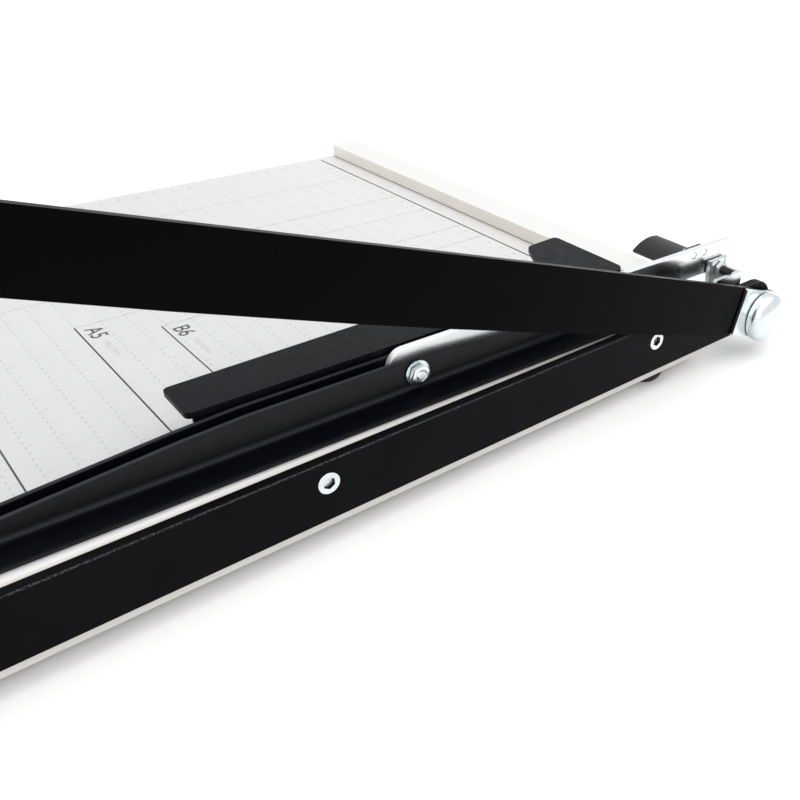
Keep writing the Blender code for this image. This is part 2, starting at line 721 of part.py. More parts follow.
def make_arm():
    """The moving blade: a bar on edge with a bellied cutting edge and a tang."""
    start = ARM_TAIL_CORNER - ARM_TAIL
    steps = 22
    outline = []
    for step in range(steps + 1):
        along = start + (ARM_FRONT - start) * step / steps
        outline.append((-along, arm_edge(along)))
    tang_low = TANG_MIDDLE - TANG_HEIGHT / 2
    tang_high = TANG_MIDDLE + TANG_HEIGHT / 2
    tang_end = ARM_FRONT + TANG_LENGTH
    outline += [(-ARM_FRONT, tang_low), (-tang_end, tang_low), (-tang_end, tang_high),
                (-ARM_FRONT, tang_high), (-ARM_FRONT, ARM_ABOVE - ARM_SHOULDER_CORNER),
                (ARM_SHOULDER_CORNER - ARM_FRONT, ARM_ABOVE)]
    rear = ARM_TAIL - ARM_TAIL_CORNER
    outline += arc((rear, ARM_ABOVE - ARM_TAIL_CORNER), ARM_TAIL_CORNER, 90, 0, 5)
    outline += arc((rear, arm_edge(start) + ARM_TAIL_CORNER), ARM_TAIL_CORNER, 0, -90, 5)[:-1]
    arm = place("cutting_arm", slab("cutting_arm", outline, ARM_THICK), BLACK, ARM_PIVOT,
                (ARM_MIDDLE, 0, 0), SIDE_VIEW)
    soften(arm, SOFT_EDGE)
    bore(arm, PIVOT_RADIUS + GAP, -OVERRUN, ARM_THICK + OVERRUN, (0, 0, 0), ARM_PIVOT, sides=24)
    for along in grip_screw_places():
        bore(arm, GRIP_SCREW_RADIUS + GAP, -OVERRUN, ARM_THICK + OVERRUN, (0, -along, TANG_MIDDLE),
             ARM_PIVOT)


def make_pivot():
    """Plate, domed bolt, washers, spring and nut on the arm's axis."""
    front = PLATE_FRONT_SHARE * PLATE_LENGTH
    rear = front - PLATE_LENGTH
    low = -ARM_REAR_BELOW
    high = low + PLATE_HEIGHT
    outline = rounded([(-front, low, PLATE_CORNER), (-rear, low, PLATE_CORNER),
                       (-rear, high, PLATE_CORNER), (-front, high, PLATE_CORNER)], steps=3)
    plate = place("pivot_plate", slab("pivot_plate", outline, PLATE_THICK), ZINC, ARM_PIVOT,
                  (PLATE_FACE - PLATE_THICK / 2, 0, 0), SIDE_VIEW)
    soften(plate, SOFT_EDGE)
    bore(plate, PIVOT_RADIUS + GAP, -OVERRUN, PLATE_FACE + OVERRUN, (0, 0, 0), ARM_PIVOT, sides=24)

    inner_washer = -BLADE_THICK - GAP
    spring_start = inner_washer - PIVOT_WASHER_THICK - GAP
    spring_end = spring_start - PIVOT_SPRING_SPACE
    outer_washer = spring_end - GAP
    nut_face = outer_washer - PIVOT_WASHER_THICK - GAP
    nut_end = nut_face - PIVOT_NUT_THICK

    seat = PLATE_FACE + GAP
    crown = PIVOT_HEAD_HEIGHT - PIVOT_HEAD_SIDE
    power = 2 / PIVOT_HEAD_ROUNDNESS
    profile = []
    steps = 9
    for step in range(steps + 1):
        angle = math.radians(90) * step / steps
        radius = PIVOT_HEAD_RADIUS * math.sin(angle) ** power
        height = crown * max(math.cos(angle), 0) ** power
        profile.append((radius, seat + PIVOT_HEAD_SIDE + height))
    profile += [(PIVOT_HEAD_RADIUS, seat), (PIVOT_RADIUS, seat), (PIVOT_RADIUS, nut_end - PIVOT_END),
                (0, nut_end - PIVOT_END)]
    place("pivot_bolt", turned("pivot_bolt", profile, steps=32), ZINC, ARM_PIVOT, turn=ALONG_X)

    washer = ring("pivot_washer", PIVOT_WASHER_RADIUS, PIVOT_RADIUS + GAP, -PIVOT_WASHER_THICK, 0)
    spots = [(across, PIVOT_BEHIND, -PIVOT_DEPTH) for across in (inner_washer, outer_washer)]
    copies("pivot_washer", washer, ZINC, CUTTER, spots, ALONG_X)

    rise = PIVOT_SPRING_SPACE - PIVOT_SPRING_WIRE * 2
    route = coil(PIVOT_SPRING_RADIUS, rise, PIVOT_SPRING_CURLS, 10)
    print("pivot_spring: least gap to itself, mm:",
          round(least_gap(route, PIVOT_SPRING_WIRE, 10) * 1000, 3))
    place("pivot_spring", tube("pivot_spring", route, PIVOT_SPRING_WIRE), STEEL, CUTTER,
          (spring_end + PIVOT_SPRING_WIRE, PIVOT_BEHIND, -PIVOT_DEPTH), ALONG_X)

    nut = place("pivot_nut", hexagon("pivot_nut", PIVOT_NUT_ACROSS, nut_end, nut_face), ZINC, ARM_PIVOT,
                turn=ALONG_X)
    soften(nut, SOFT_EDGE)
    bore(nut, PIVOT_RADIUS + GAP, nut_end - OVERRUN, nut_face + OVERRUN, (0, 0, 0), ARM_PIVOT, sides=24)


def coil(radius, rise, curls, points_a_curl):
    """Points along a spring's centre line."""
    route = []
    count = curls * points_a_curl
    for step in range(count + 1):
        angle = math.radians(360) * step / points_a_curl
        route.append((radius * math.cos(angle), radius * math.sin(angle), rise * step / count))
    return route


def least_gap(route, wire, points_a_curl):
    """Smallest clear distance between one curl and another."""
    points = [Vector(point) for point in route]
    gaps = []
    for index, point in enumerate(points):
        for other in points[index + points_a_curl // 2:]:
            gaps.append((point - other).length)
    return min(gaps) - wire * 2


def grip_screw_places():
    return [GRIP_START + share * TANG_LENGTH for share in GRIP_SCREW_SHARES]


def make_grip():
    """The turned hand grip on the arm's tang, held by two through screws."""
    profile = []
    for along, share in zip(GRIP_LENGTH_SHARES, GRIP_RADIUS_SHARES):
        profile.append((GRIP_RADIUS * share, GRIP_START + GRIP_LENGTH * along))
    profile.append((0, GRIP_START))
    grip = place("grip", turned("grip", profile, steps=28), GRIP_PLASTIC, ARM_PIVOT,
                 (ARM_MIDDLE, 0, TANG_MIDDLE), END_VIEW)
    slot_half = TANG_HEIGHT / 2 + GAP
    slot = block("grip_slot",
                 (-ARM_THICK / 2 - GAP, -ARM_FRONT - TANG_LENGTH - GAP, -slot_half),
                 (ARM_THICK / 2 + GAP, OVERRUN - GRIP_START, slot_half))
    cut(grip, guide("grip_slot", slot, ARM_PIVOT, (ARM_MIDDLE, 0, TANG_MIDDLE)))

    head_face = GRIP_RADIUS - GRIP_SCREW_DEPTH
    head_seat = head_face - GRIP_SCREW_HEAD_HEIGHT
    spots = [(ARM_MIDDLE, -along, TANG_MIDDLE) for along in grip_screw_places()]
    reach = GRIP_RADIUS + OVERRUN
    wide = GRIP_SCREW_HEAD + GAP
    thin = GRIP_SCREW_RADIUS + GAP
    well = head_seat - GAP
    sink = turned("grip_sink", [(0, reach), (wide, reach), (wide, well), (thin, well), (thin, -well),
                                (wide, -well), (wide, -reach), (0, -reach)], steps=16)
    cut(grip, guide("grip_sinks", repeated("grip_sinks", sink, spots, ALONG_X), ARM_PIVOT))
    screw = turned("grip_screw", [(0, head_face), (GRIP_SCREW_HEAD, head_face),
                                  (GRIP_SCREW_HEAD, head_seat), (GRIP_SCREW_RADIUS, head_seat),
                                  (GRIP_SCREW_RADIUS, -head_seat), (GRIP_SCREW_HEAD, -head_seat),
                                  (GRIP_SCREW_HEAD, -head_face), (0, -head_face)], steps=16)
    copies("grip_screw", screw, STEEL, ARM_PIVOT, spots, ALONG_X)


def make_bracket():
    """Folded bracket on the blade's rear end that carries the lever's hinge bolt."""
    outside = -(BLADE_THICK + GAP)
    leg = outside - BRACKET_SHEET
    web = HINGE_BEHIND + HINGE_NUT_ACROSS / 2 + GAP
    rear = web + BRACKET_SHEET
    front = rear - BRACKET_LEG_LENGTH
    cheek = -HINGE_LEFT + LEVER_FACE + BRACKET_CHEEK_SPACE
    cheek_inside = cheek + BRACKET_SHEET
    cheek_front = HINGE_BEHIND - BRACKET_CHEEK_FRONT
    outline = [(outside, front), (outside, rear), (cheek, rear), (cheek, cheek_front),
               (cheek_inside, cheek_front), (cheek_inside, web), (leg, web), (leg, front)]
    top = HINGE_ABOVE + BRACKET_CHEEK_ABOVE
    bottom = -BRACKET_LEG_DROP
    bracket = place("hinge_bracket", slab("hinge_bracket", outline, top - bottom), ZINC, CUTTER,
                    (0, 0, (top + bottom) / 2))
    over_web = block("over_web", (cheek_inside + GAP, front - OVERRUN, BRACKET_WEB_TOP),
                     (outside + OVERRUN, rear + OVERRUN, top + OVERRUN))
    cut(bracket, guide("over_web", over_web, CUTTER))
    under_web = block("under_web", (cheek - OVERRUN, cheek_front - OVERRUN, bottom - OVERRUN),
                      (leg - GAP, rear + OVERRUN, -BRACKET_WEB_DROP))
    cut(bracket, guide("under_web", under_web, CUTTER))
    behind_leg = block("behind_leg", (leg - OVERRUN, web - GAP, bottom - OVERRUN),
                       (outside + OVERRUN, rear + OVERRUN, -BRACKET_WEB_DROP))
    cut(bracket, guide("behind_leg", behind_leg, CUTTER))
    bore(bracket, HINGE_BOLT_RADIUS + GAP, -OVERRUN, OVERRUN, (cheek, HINGE_BEHIND, HINGE_ABOVE), CUTTER)

    seats = [(0, HINGE_BEHIND - BRACKET_SCREW_FRONT, -depth) for depth in BRACKET_SCREW_DEPTHS]
    for seat in seats:
        bore(bracket, BRACKET_SCREW_RADIUS + GAP, leg - OVERRUN, 0, seat, CUTTER)
    screw = turned("bracket_screw", flat_head(BRACKET_SCREW_RADIUS, BRACKET_SCREW_HEAD,
                                              BRACKET_SCREW_CONE, leg - BRACKET_SCREW_END))
    copies("bracket_screw", screw, ZINC, CUTTER, seats, ALONG_X)

    head = -(LEVER_FACE + GAP)
    nut_face = cheek_inside + HINGE_LEFT + GAP
    nut_end = nut_face + HINGE_NUT_THICK
    reach = nut_end + HINGE_BOLT_END
    nut = place("hinge_nut", hexagon("hinge_nut", HINGE_NUT_ACROSS, nut_face, nut_end, math.radians(30)),
                STEEL, CUTTER, HINGE_SPOT, ALONG_X)
    bore(nut, HINGE_BOLT_RADIUS + GAP, nut_face - OVERRUN, nut_end + OVERRUN, HINGE_SPOT, CUTTER)
    bolt = turned("hinge_bolt", [(0, reach), (HINGE_BOLT_RADIUS, reach),
                                 (HINGE_BOLT_RADIUS, head), (HINGE_BOLT_HEAD, head),
                                 (HINGE_BOLT_HEAD, head - HINGE_BOLT_HEAD_HEIGHT / 2),
                                 (HINGE_BOLT_RADIUS, head - HINGE_BOLT_HEAD_HEIGHT),
                                 (0, head - HINGE_BOLT_HEAD_HEIGHT)], steps=16)
    place("hinge_bolt", bolt, BLACK, CUTTER, HINGE_SPOT, ALONG_X)


def make_lever():
    """The zinc lever on edge that presses the clamp bar down."""
    half = LEVER_HEIGHT / 2
    middle = LEVER_MIDDLE - HINGE_ABOVE
    bottom = middle - half
    lug = LEVER_LUG_RADIUS
    dip = math.degrees(math.asin(bottom / lug))
    outline = arc((-LEVER_REACH, middle), half, 90, 270, 12)
    outline += arc((0, 0), lug, 180 - dip, 335, 10)
    outline += arc((LEVER_TAIL, middle), half, -70, 90, 10)
    lever = place("clamp_lever", slab("clamp_lever", outline, LEVER_THICK), ZINC, CLAMP_LIFT,
                  (0, 0, 0), SIDE_VIEW)
    soften(lever, SOFT_EDGE)
    bore(lever, HINGE_BOLT_RADIUS + GAP, -OVERRUN, OVERRUN, (0, 0, 0), CLAMP_LIFT)
    bore(lever, CLAMP_BOLT_RADIUS + GAP, -OVERRUN, OVERRUN, BOLT_SPOT, CLAMP_LIFT)
    for spot in press_rivet_spots():
        bore(lever, RIVET_RADIUS + GAP, -OVERRUN, OVERRUN, spot, CLAMP_LIFT)
    for spot in tab_rivet_spots():
        bore(lever, TAB_RIVET_RADIUS + GAP, -OVERRUN, OVERRUN, spot, CLAMP_LIFT)


def from_hinge(along):
    """A distance in front of the fence's foot as the lever's own frame has it."""
    return -along - HINGE_BEHIND


def tab_rivet_spots():
    length = TAB_FLANGE_REAR - TAB_FLANGE_FRONT
    spots = []
    for share in TAB_RIVET_SHARES:
        behind = TAB_FLANGE_FRONT + share * length
        spots.append((0, behind - HINGE_BEHIND, TAB_RIVET_ABOVE - HINGE_ABOVE))
    return spots


def press_rivet_spots():
    length = PRESS_FLANGE_FRONT - PRESS_FLANGE_REAR
    height = PRESS_RIVET_ABOVE - HINGE_ABOVE
    spots = []
    for share in PRESS_RIVET_SHARES:
        along = PRESS_FLANGE_REAR + share * length
        spots.append((0, -along - HINGE_BEHIND, height))
    return spots


def make_press_plate():
    """The hand press plate: a finger along the lever, a wider pad at the rear and a lip below."""
    edge = -(LEVER_FACE + PRESS_SPACE)
    front_left = edge - PRESS_FINGER_FRONT_WIDTH
    rear_left = edge - PRESS_FINGER_REAR_WIDTH
    pad_left = edge - PRESS_PAD_WIDTH
    pad_side = PRESS_REAR + PRESS_PAD_SIDE
    pad_front = PRESS_REAR + PRESS_PAD_LENGTH
    corner = PRESS_CORNER
    corners = [(edge, from_hinge(PRESS_FRONT), PRESS_FRONT_CORNER),
               (edge, from_hinge(PRESS_REAR), corner),
               (pad_left, from_hinge(PRESS_REAR), corner / 2),
               (pad_left + PRESS_PAD_TAPER, from_hinge(pad_side), corner),
               (rear_left - PRESS_STEP, from_hinge(pad_front), corner),
               (rear_left, from_hinge(pad_front + PRESS_SHOULDER), corner),
               (front_left, from_hinge(PRESS_FRONT), PRESS_FRONT_CORNER)]
    top = LEVER_TOP - HINGE_ABOVE
    plate = place("press_plate", slab("press_plate", rounded(corners), PRESS_THICK), BLACK, CLAMP_LIFT,
                  (0, 0, top - PRESS_THICK / 2))
    fold = block("press_fold",
                 (FLANGE_FACE - PRESS_THICK, from_hinge(PRESS_FLANGE_FRONT),
                  PRESS_FLANGE_BOTTOM - HINGE_ABOVE),
                 (FLANGE_FACE, from_hinge(PRESS_FLANGE_REAR), top - SOFT_EDGE))
    join(plate, guide("press_fold", fold, CLAMP_LIFT))
    lip_face = CLAMP_LEFT - GAP
    lip = block("press_lip",
                (lip_face - PRESS_LIP_THICK, from_hinge(PRESS_LIP_FRONT), PRESS_LIP_BOTTOM - HINGE_ABOVE),
                (lip_face, from_hinge(PRESS_LIP_REAR), top - SOFT_EDGE))
    join(plate, guide("press_lip", lip, CLAMP_LIFT))
    soften(plate, SOFT_EDGE)
    right = LEVER_FACE - FLUSH_DROP
    left = FLANGE_FACE - PRESS_THICK - GAP
    height = RIVET_HEAD_HEIGHT
    rivet = turned("press_rivet", [(0, right), (RIVET_RADIUS, right), (RIVET_RADIUS, left),
                                   (RIVET_HEAD, left), (RIVET_HEAD, left - height / 2),
                                   (RIVET_RADIUS, left - height), (0, left - height)], steps=16)
    for spot in press_rivet_spots():
        bore(plate, RIVET_RADIUS + GAP, left - OVERRUN, 0, spot, CLAMP_LIFT)
    copies("press_rivet", rivet, ZINC, CLAMP_LIFT, press_rivet_spots(), ALONG_X)


def make_lift_tab():
    """A curved finger plate on the lever's left side, to lift the clamp by."""
    crest = TAB_CREST_BEHIND - HINGE_BEHIND
    middle = (crest, TAB_TOP - HINGE_ABOVE - TAB_RADIUS)
    front = tab_angle(TAB_FRONT_BEHIND)
    rear = tab_angle(TAB_REAR_BEHIND)
    outline = arc(middle, TAB_RADIUS, front, rear, 8)
    outline += arc(middle, TAB_RADIUS - TAB_THICK, rear, front, 8)
    tab = place("lift_tab", slab("lift_tab", outline, TAB_LENGTH), BLACK, CLAMP_LIFT,
                (FLANGE_FACE - TAB_LENGTH / 2, 0, 0), SIDE_VIEW)
    flange_top = TAB_FLANGE_TOP - HINGE_ABOVE
    outline = arc(middle, TAB_RADIUS - TAB_THICK / 2, tab_angle(TAB_FLANGE_FRONT),
                  tab_angle(TAB_FLANGE_REAR), 5)
    outline.append((TAB_FLANGE_REAR - HINGE_BEHIND, flange_top - TAB_FLANGE_CORNER))
    outline.append((TAB_FLANGE_REAR - HINGE_BEHIND - TAB_FLANGE_CORNER, flange_top))
    outline.append((TAB_FLANGE_FRONT - HINGE_BEHIND + TAB_FLANGE_CORNER, flange_top))
    outline.append((TAB_FLANGE_FRONT - HINGE_BEHIND, flange_top - TAB_FLANGE_CORNER))
    join(tab, guide("tab_flange", slab("tab_flange", outline, TAB_THICK), CLAMP_LIFT,
                    (FLANGE_FACE - TAB_THICK / 2, 0, 0), SIDE_VIEW))
    right = LEVER_FACE - FLUSH_DROP
    left = FLANGE_FACE - TAB_THICK - GAP
    height = RIVET_HEAD_HEIGHT
    rivet = turned("tab_rivet", [(0, right), (TAB_RIVET_RADIUS, right), (TAB_RIVET_RADIUS, left),
                                 (TAB_RIVET_HEAD, left), (TAB_RIVET_HEAD, left - height / 2),
                                 (TAB_RIVET_RADIUS, left - height), (0, left - height)])
    for spot in tab_rivet_spots():
        bore(tab, TAB_RIVET_RADIUS + GAP, left - OVERRUN, 0, spot, CLAMP_LIFT)
    copies("tab_rivet", rivet, ZINC, CLAMP_LIFT, tab_rivet_spots(), ALONG_X)


def tab_angle(behind):
    """Where on the tab's arc a distance behind the fence's foot lies, in degrees."""
    return math.degrees(math.acos((behind - TAB_CREST_BEHIND) / TAB_RADIUS))


def make_clamp_bar():
    """The channel that holds sheets down beside the cut, with its pad and bolt.

    Its walls are highest at the bolt and slope down to both ends.
    """
    drop = -CLAMP_BOLT_ABOVE
    under = drop + CLAMP_UNDER
    floor = under + CLAMP_FLOOR
    high = drop + CLAMP_WALL_TOP + OVERRUN
    outline = [(CLAMP_LEFT, under), (CLAMP_EDGE, under), (CLAMP_EDGE, floor), (CLAMP_RIGHT, floor),
               (CLAMP_RIGHT, high), (SLOT_RIGHT, high), (SLOT_RIGHT, floor),
               (SLOT_LEFT, floor), (SLOT_LEFT, high), (CLAMP_LEFT, high)]
    nose = CLAMP_BOLT_REACH - HINGE_BEHIND
    front = nose - CLAMP_FRONT
    rear = nose - CLAMP_REAR
    bar = place("clamp_bar", slab("clamp_bar", outline, rear - front), BLACK, BAR_PIVOT,
                (0, (front + rear) / 2, 0), END_VIEW)
    above_walls = [(front - OVERRUN, drop + CLAMP_WALL_FRONT_TOP), (front, drop + CLAMP_WALL_FRONT_TOP),
                   (-CLAMP_SHOULDER_AHEAD_OF_BOLT, drop + CLAMP_WALL_SHOULDER_TOP),
                   (-CLAMP_HUMP_AHEAD_OF_BOLT, drop + CLAMP_WALL_TOP),
                   (CLAMP_HUMP_BEHIND_BOLT, drop + CLAMP_WALL_TOP),
                   (rear, drop + CLAMP_WALL_REAR_TOP), (rear + OVERRUN, drop + CLAMP_WALL_REAR_TOP),
                   (rear + OVERRUN, high + OVERRUN), (front - OVERRUN, high + OVERRUN)]
    reach = CLAMP_EDGE - CLAMP_LEFT + OVERRUN
    cut(bar, guide("above_walls", slab("above_walls", above_walls, reach), BAR_PIVOT,
                   ((CLAMP_LEFT + CLAMP_EDGE) / 2, 0, 0), SIDE_VIEW))
    soften(bar, SOFT_EDGE)
    cutback = block("cutback", (CLAMP_LEFT - OVERRUN, nose - CLAMP_CUTBACK, floor),
                    (SLOT_LEFT + GAP, rear + OVERRUN, high + OVERRUN))
    cut(bar, guide("cutback", cutback, BAR_PIVOT))
    bore(bar, CLAMP_BOLT_RADIUS + GAP, CLAMP_LEFT - OVERRUN, CLAMP_RIGHT + OVERRUN, (0, 0, 0), BAR_PIVOT)

    pad = block("clamp_pad", (CLAMP_LEFT + PAD_INSET, front + PAD_INSET, under - GAP - PAD_THICK),
                (CLAMP_EDGE - PAD_INSET, rear - PAD_INSET, under - GAP))
    place("clamp_pad", pad, RUBBER, BAR_PIVOT)

    washer_face = CLAMP_RIGHT + GAP
    nut_face = washer_face + CLAMP_WASHER_THICK + GAP
    nut_end = nut_face + CLAMP_NUT_THICK
    bolt_end = nut_end + CLAMP_BOLT_END
    head = CLAMP_LEFT - GAP
    dome = CLAMP_BOLT_DOME
    shank = turned("clamp_bolt", [(0, bolt_end), (CLAMP_BOLT_RADIUS / 2, bolt_end - dome / 4),
                                  (CLAMP_BOLT_RADIUS, bolt_end - dome),
                                  (CLAMP_BOLT_RADIUS, head - CLAMP_BOLT_HEAD_HEIGHT / 2),
                                  (0, head - CLAMP_BOLT_HEAD_HEIGHT / 2)], steps=16)
    bolt = place("clamp_bolt", shank, ZINC, BAR_PIVOT, (0, 0, 0), ALONG_X)
    head_block = hexagon("clamp_bolt_head", CLAMP_BOLT_ACROSS, head - CLAMP_BOLT_HEAD_HEIGHT, head)
    join(bolt, guide("clamp_bolt_head", head_block, BAR_PIVOT, (0, 0, 0), ALONG_X))
    washer = ring("clamp_washer", CLAMP_WASHER_RADIUS, CLAMP_BOLT_RADIUS + GAP, washer_face,
                  washer_face + CLAMP_WASHER_THICK)
    place("clamp_washer", washer, ZINC, BAR_PIVOT, (0, 0, 0), ALONG_X)
    nut = place("clamp_nut", hexagon("clamp_nut", CLAMP_BOLT_ACROSS, nut_face, nut_end), ZINC,
                BAR_PIVOT, (0, 0, 0), ALONG_X)
    soften(nut, SOFT_EDGE)
    bore(nut, CLAMP_BOLT_RADIUS + GAP, nut_face - OVERRUN, nut_end + OVERRUN, (0, 0, 0), BAR_PIVOT)


def stand_on_origin():
    """Move the whole cutter so that its outline is centred over the origin."""
    bpy.context.view_layer.update()
    depsgraph = bpy.context.evaluated_depsgraph_get()
    corners = []
    for part in PARTS.objects:
        if part.type != "MESH":
            continue
        seen = part.evaluated_get(depsgraph)
        corners += [seen.matrix_world @ vert.co for vert in seen.data.vertices]
    low = Vector(min(corner[axis] for corner in corners) for axis in range(3))
    high = Vector(max(corner[axis] for corner in corners) for axis in range(3))
    middle = (low + high) / 2
    CUTTER.location = (-middle.x, -middle.y, -low.z)


make_tray()
make_braces()
make_fence()
make_feet()
make_fixed_blade()
make_arm()
make_pivot()
make_grip()
make_bracket()
make_lever()
make_press_plate()
make_lift_tab()
make_clamp_bar()
stand_on_origin()
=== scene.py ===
"""Looks of the guillotine paper cutter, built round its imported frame.

Sizes are in millimetres from the table's zero corner, as in the CAD: X = 0 is
the cut line, Y = 0 the foot of the fence and Z = 0 the table top.
"""

import json
import math

import bmesh
import bpy
from mathutils import Matrix, Vector


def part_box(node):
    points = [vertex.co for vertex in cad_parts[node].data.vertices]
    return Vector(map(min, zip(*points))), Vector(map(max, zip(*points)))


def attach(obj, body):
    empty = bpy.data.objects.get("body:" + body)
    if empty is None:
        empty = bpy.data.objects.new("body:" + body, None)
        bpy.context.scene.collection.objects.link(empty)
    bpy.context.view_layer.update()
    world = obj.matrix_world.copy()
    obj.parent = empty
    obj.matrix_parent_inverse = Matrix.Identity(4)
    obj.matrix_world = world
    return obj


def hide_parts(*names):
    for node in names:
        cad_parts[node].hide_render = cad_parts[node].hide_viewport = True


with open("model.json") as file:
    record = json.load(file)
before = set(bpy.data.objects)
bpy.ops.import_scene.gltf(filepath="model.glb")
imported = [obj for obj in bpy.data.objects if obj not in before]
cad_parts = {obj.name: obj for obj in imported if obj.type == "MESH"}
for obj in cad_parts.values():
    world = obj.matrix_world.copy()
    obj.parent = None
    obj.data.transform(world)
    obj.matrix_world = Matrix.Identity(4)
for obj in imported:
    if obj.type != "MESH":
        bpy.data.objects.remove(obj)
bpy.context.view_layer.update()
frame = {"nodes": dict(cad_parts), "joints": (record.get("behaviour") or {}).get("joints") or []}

MM = 0.001
SAME_SPOT = 0.001 * MM
ZERO = Vector((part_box("fixed_blade")[1].x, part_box("fence")[0].y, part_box("base_tray")[1].z))
SCENE = bpy.context.scene

# The photograph's camera, fitted to the printed lines
SENSOR_WIDTH = 36
LENS = 39.61
SHIFT = -0.18723
CAMERA_AT = (219.80, -285.38, 168.60)
CAMERA_AZIMUTH = math.radians(46.968)
CAMERA_ELEVATION = math.radians(31.342)
CAMERA_ROLL = math.radians(1.922)


# ---------------------------------------------------------------- places

def joint_spot(name):
    """A matrix that moves to a joint's place at rest."""
    for joint in frame["joints"]:
        if joint["name"] == name:
            return Matrix.Translation(joint["pos_m"])


TOE_IN_ANGLE = math.radians(-1.1)
ARM_RAISED_ANGLE = math.radians(-19.2)
TOE_IN = Matrix.Rotation(TOE_IN_ANGLE, 4, "Z")
SIDEWAYS = Matrix.Rotation(math.radians(90), 4, "Y")
TABLE = Matrix.Translation(ZERO)
ARM = joint_spot("arm_swing") @ Matrix.Rotation(ARM_RAISED_ANGLE, 4, "X")
LEVER = joint_spot("clamp_lift") @ TOE_IN
BAR = joint_spot("clamp_tilt") @ TOE_IN


def at(x, y, z):
    """A place matrix in the table's millimetres."""
    return TABLE @ Matrix.Translation(Vector((x, y, z)) * MM)


# ---------------------------------------------------------------- meshes

def skin(rings, closed=False):
    """A closed surface through rings of points, in millimetres."""
    work = bmesh.new()
    made = [[work.verts.new(Vector(point) * MM) for point in ring] for ring in rings]
    pairs = list(zip(made, made[1:]))
    if closed:
        pairs.append((made[-1], made[0]))
    for one, two in pairs:
        count = max(len(one), len(two))
        for here in range(count):
            there = (here + 1) % count
            corners = [one[here % len(one)], one[there % len(one)],
                       two[there % len(two)], two[here % len(two)]]
            work.faces.new(list(dict.fromkeys(corners)))
    if not closed:
        for ring in (made[0], made[-1]):
            if len(ring) > 1:
                work.faces.new(ring)
    return work


def circle(radius, height, sides):
    """A ring of points, or the one point in its middle when it has no radius."""
    if radius == 0:
        return [(0, 0, height)]
    turn = 2 * math.pi / sides
    return [(radius * math.cos(i * turn), radius * math.sin(i * turn), height)
            for i in range(sides)]


def turned(profile, sides=64, closed=False):
    """A profile of (radius, height) pairs turned about Z."""
    return skin([circle(radius, height, sides) for radius, height in profile], closed)


def hex_radius(angle, across):
    """How far a hexagon's outline lies from its middle at an angle."""
    sixth = math.pi / 3
    return across / 2 / math.cos((angle + sixth / 2) % sixth - sixth / 2)


def hex_nut(across, bore, low, high, spin=0.0):
    """A nut with its corners turned off on both faces and a chamfered bore."""
    sides = 72
    face = across / 2 * 0.955
    lead = 0.35

    def ring(height, side):
        points = []
        for i in range(sides):
            angle = 2 * math.pi * i / sides
            radius = hex_radius(angle, across)
            drop = (radius - face) * math.tan(math.radians(30)) * side
            turn = angle + spin
            points.append((radius * math.cos(turn), radius * math.sin(turn), height - drop))
        return points

    rings = [circle(bore, low + lead, sides), circle(bore + lead, low, sides),
             circle(face, low, sides), ring(low, -1), ring(high, 1), circle(face, high, sides),
             circle(bore + lead, high, sides), circle(bore, high - lead, sides)]
    return skin(rings, closed=True)


def thread(radius, pitch, low, high, sides=40):
    """A threaded rod with chamfered ends."""
    depth = pitch * 0.42
    steps_per_turn = 8
    steps = int((high - low) / pitch * steps_per_turn)
    rings = [[(0, 0, low)]]
    for step in range(steps + 1):
        height = low + (high - low) * step / steps
        edge = min(height - low, high - height)
        ring = []
        for i in range(sides):
            share = (height / pitch - i / sides) % 1
            groove = abs(share * 2 - 1)
            reach = radius - depth * min(max(groove * 1.25 - 0.1, 0), 1)
            reach = min(reach, radius - depth * 1.1 + edge)
            turn = 2 * math.pi * i / sides
            ring.append((reach * math.cos(turn), reach * math.sin(turn), height))
        rings.append(ring)
    rings.append([(0, 0, high)])
    return skin(rings)


def wire_coil(radius, wire, low, high, curls, sides=14):
    """A round wire wound on a helix along Z, from low to high."""
    steps_per_curl = 48
    steps = curls * steps_per_curl
    rise = (high - low) / (2 * math.pi * curls)
    rings = []
    for step in range(steps + 1):
        turn = 2 * math.pi * curls * step / steps
        out = Vector((math.cos(turn), math.sin(turn), 0))
        ahead = Vector((-radius * math.sin(turn), radius * math.cos(turn), rise)).normalized()
        over = ahead.cross(out)
        middle = out * radius + Vector((0, 0, low + rise * turn))
        rings.append([middle + (out * math.cos(a) + over * math.sin(a)) * wire
                      for a in (2 * math.pi * i / sides for i in range(sides))])
    return skin(rings)


BOX_FACES = ((0, 2, 3, 1), (4, 5, 7, 6), (0, 1, 5, 4), (2, 6, 7, 3), (0, 4, 6, 2), (1, 3, 7, 5))


def boxes(corners):
    """Many boxes in one mesh; each is (low corner, high corner)."""
    work = bmesh.new()
    for low, high in corners:
        verts = [work.verts.new(Vector((x, y, z)) * MM)
                 for z in (low[2], high[2]) for y in (low[1], high[1]) for x in (low[0], high[0])]
        for face in BOX_FACES:
            work.faces.new([verts[corner] for corner in face])
    return work


def rounded(corners, steps=4):
    """Round a closed outline's corners; each is (across, up, radius)."""
    points = []
    for index, (across, up, radius) in enumerate(corners):
        here = Vector((across, up))
        if not radius:
            points.append(tuple(here))
            continue
        before = (Vector(corners[index - 1][:2]) - here).normalized()
        after = (Vector(corners[(index + 1) % len(corners)][:2]) - here).normalized()
        half = before.angle(after) / 2
        middle = here + (before + after).normalized() * radius / math.sin(half)
        start = here + before * radius / math.tan(half) - middle
        end = here + after * radius / math.tan(half) - middle
        turn = start.angle_signed(end)
        for step in range(steps + 1):
            points.append(tuple(middle + Matrix.Rotation(-turn * step / steps, 2) @ start))
    return points


def to_mesh(name, work):
    """Turn a bmesh into a mesh whose faces look outwards."""
    bmesh.ops.recalc_face_normals(work, faces=work.faces)
    mesh = bpy.data.meshes.new(name)
    work.to_mesh(mesh)
    work.free()
    return mesh


SHARP_EDGE = math.radians(50)


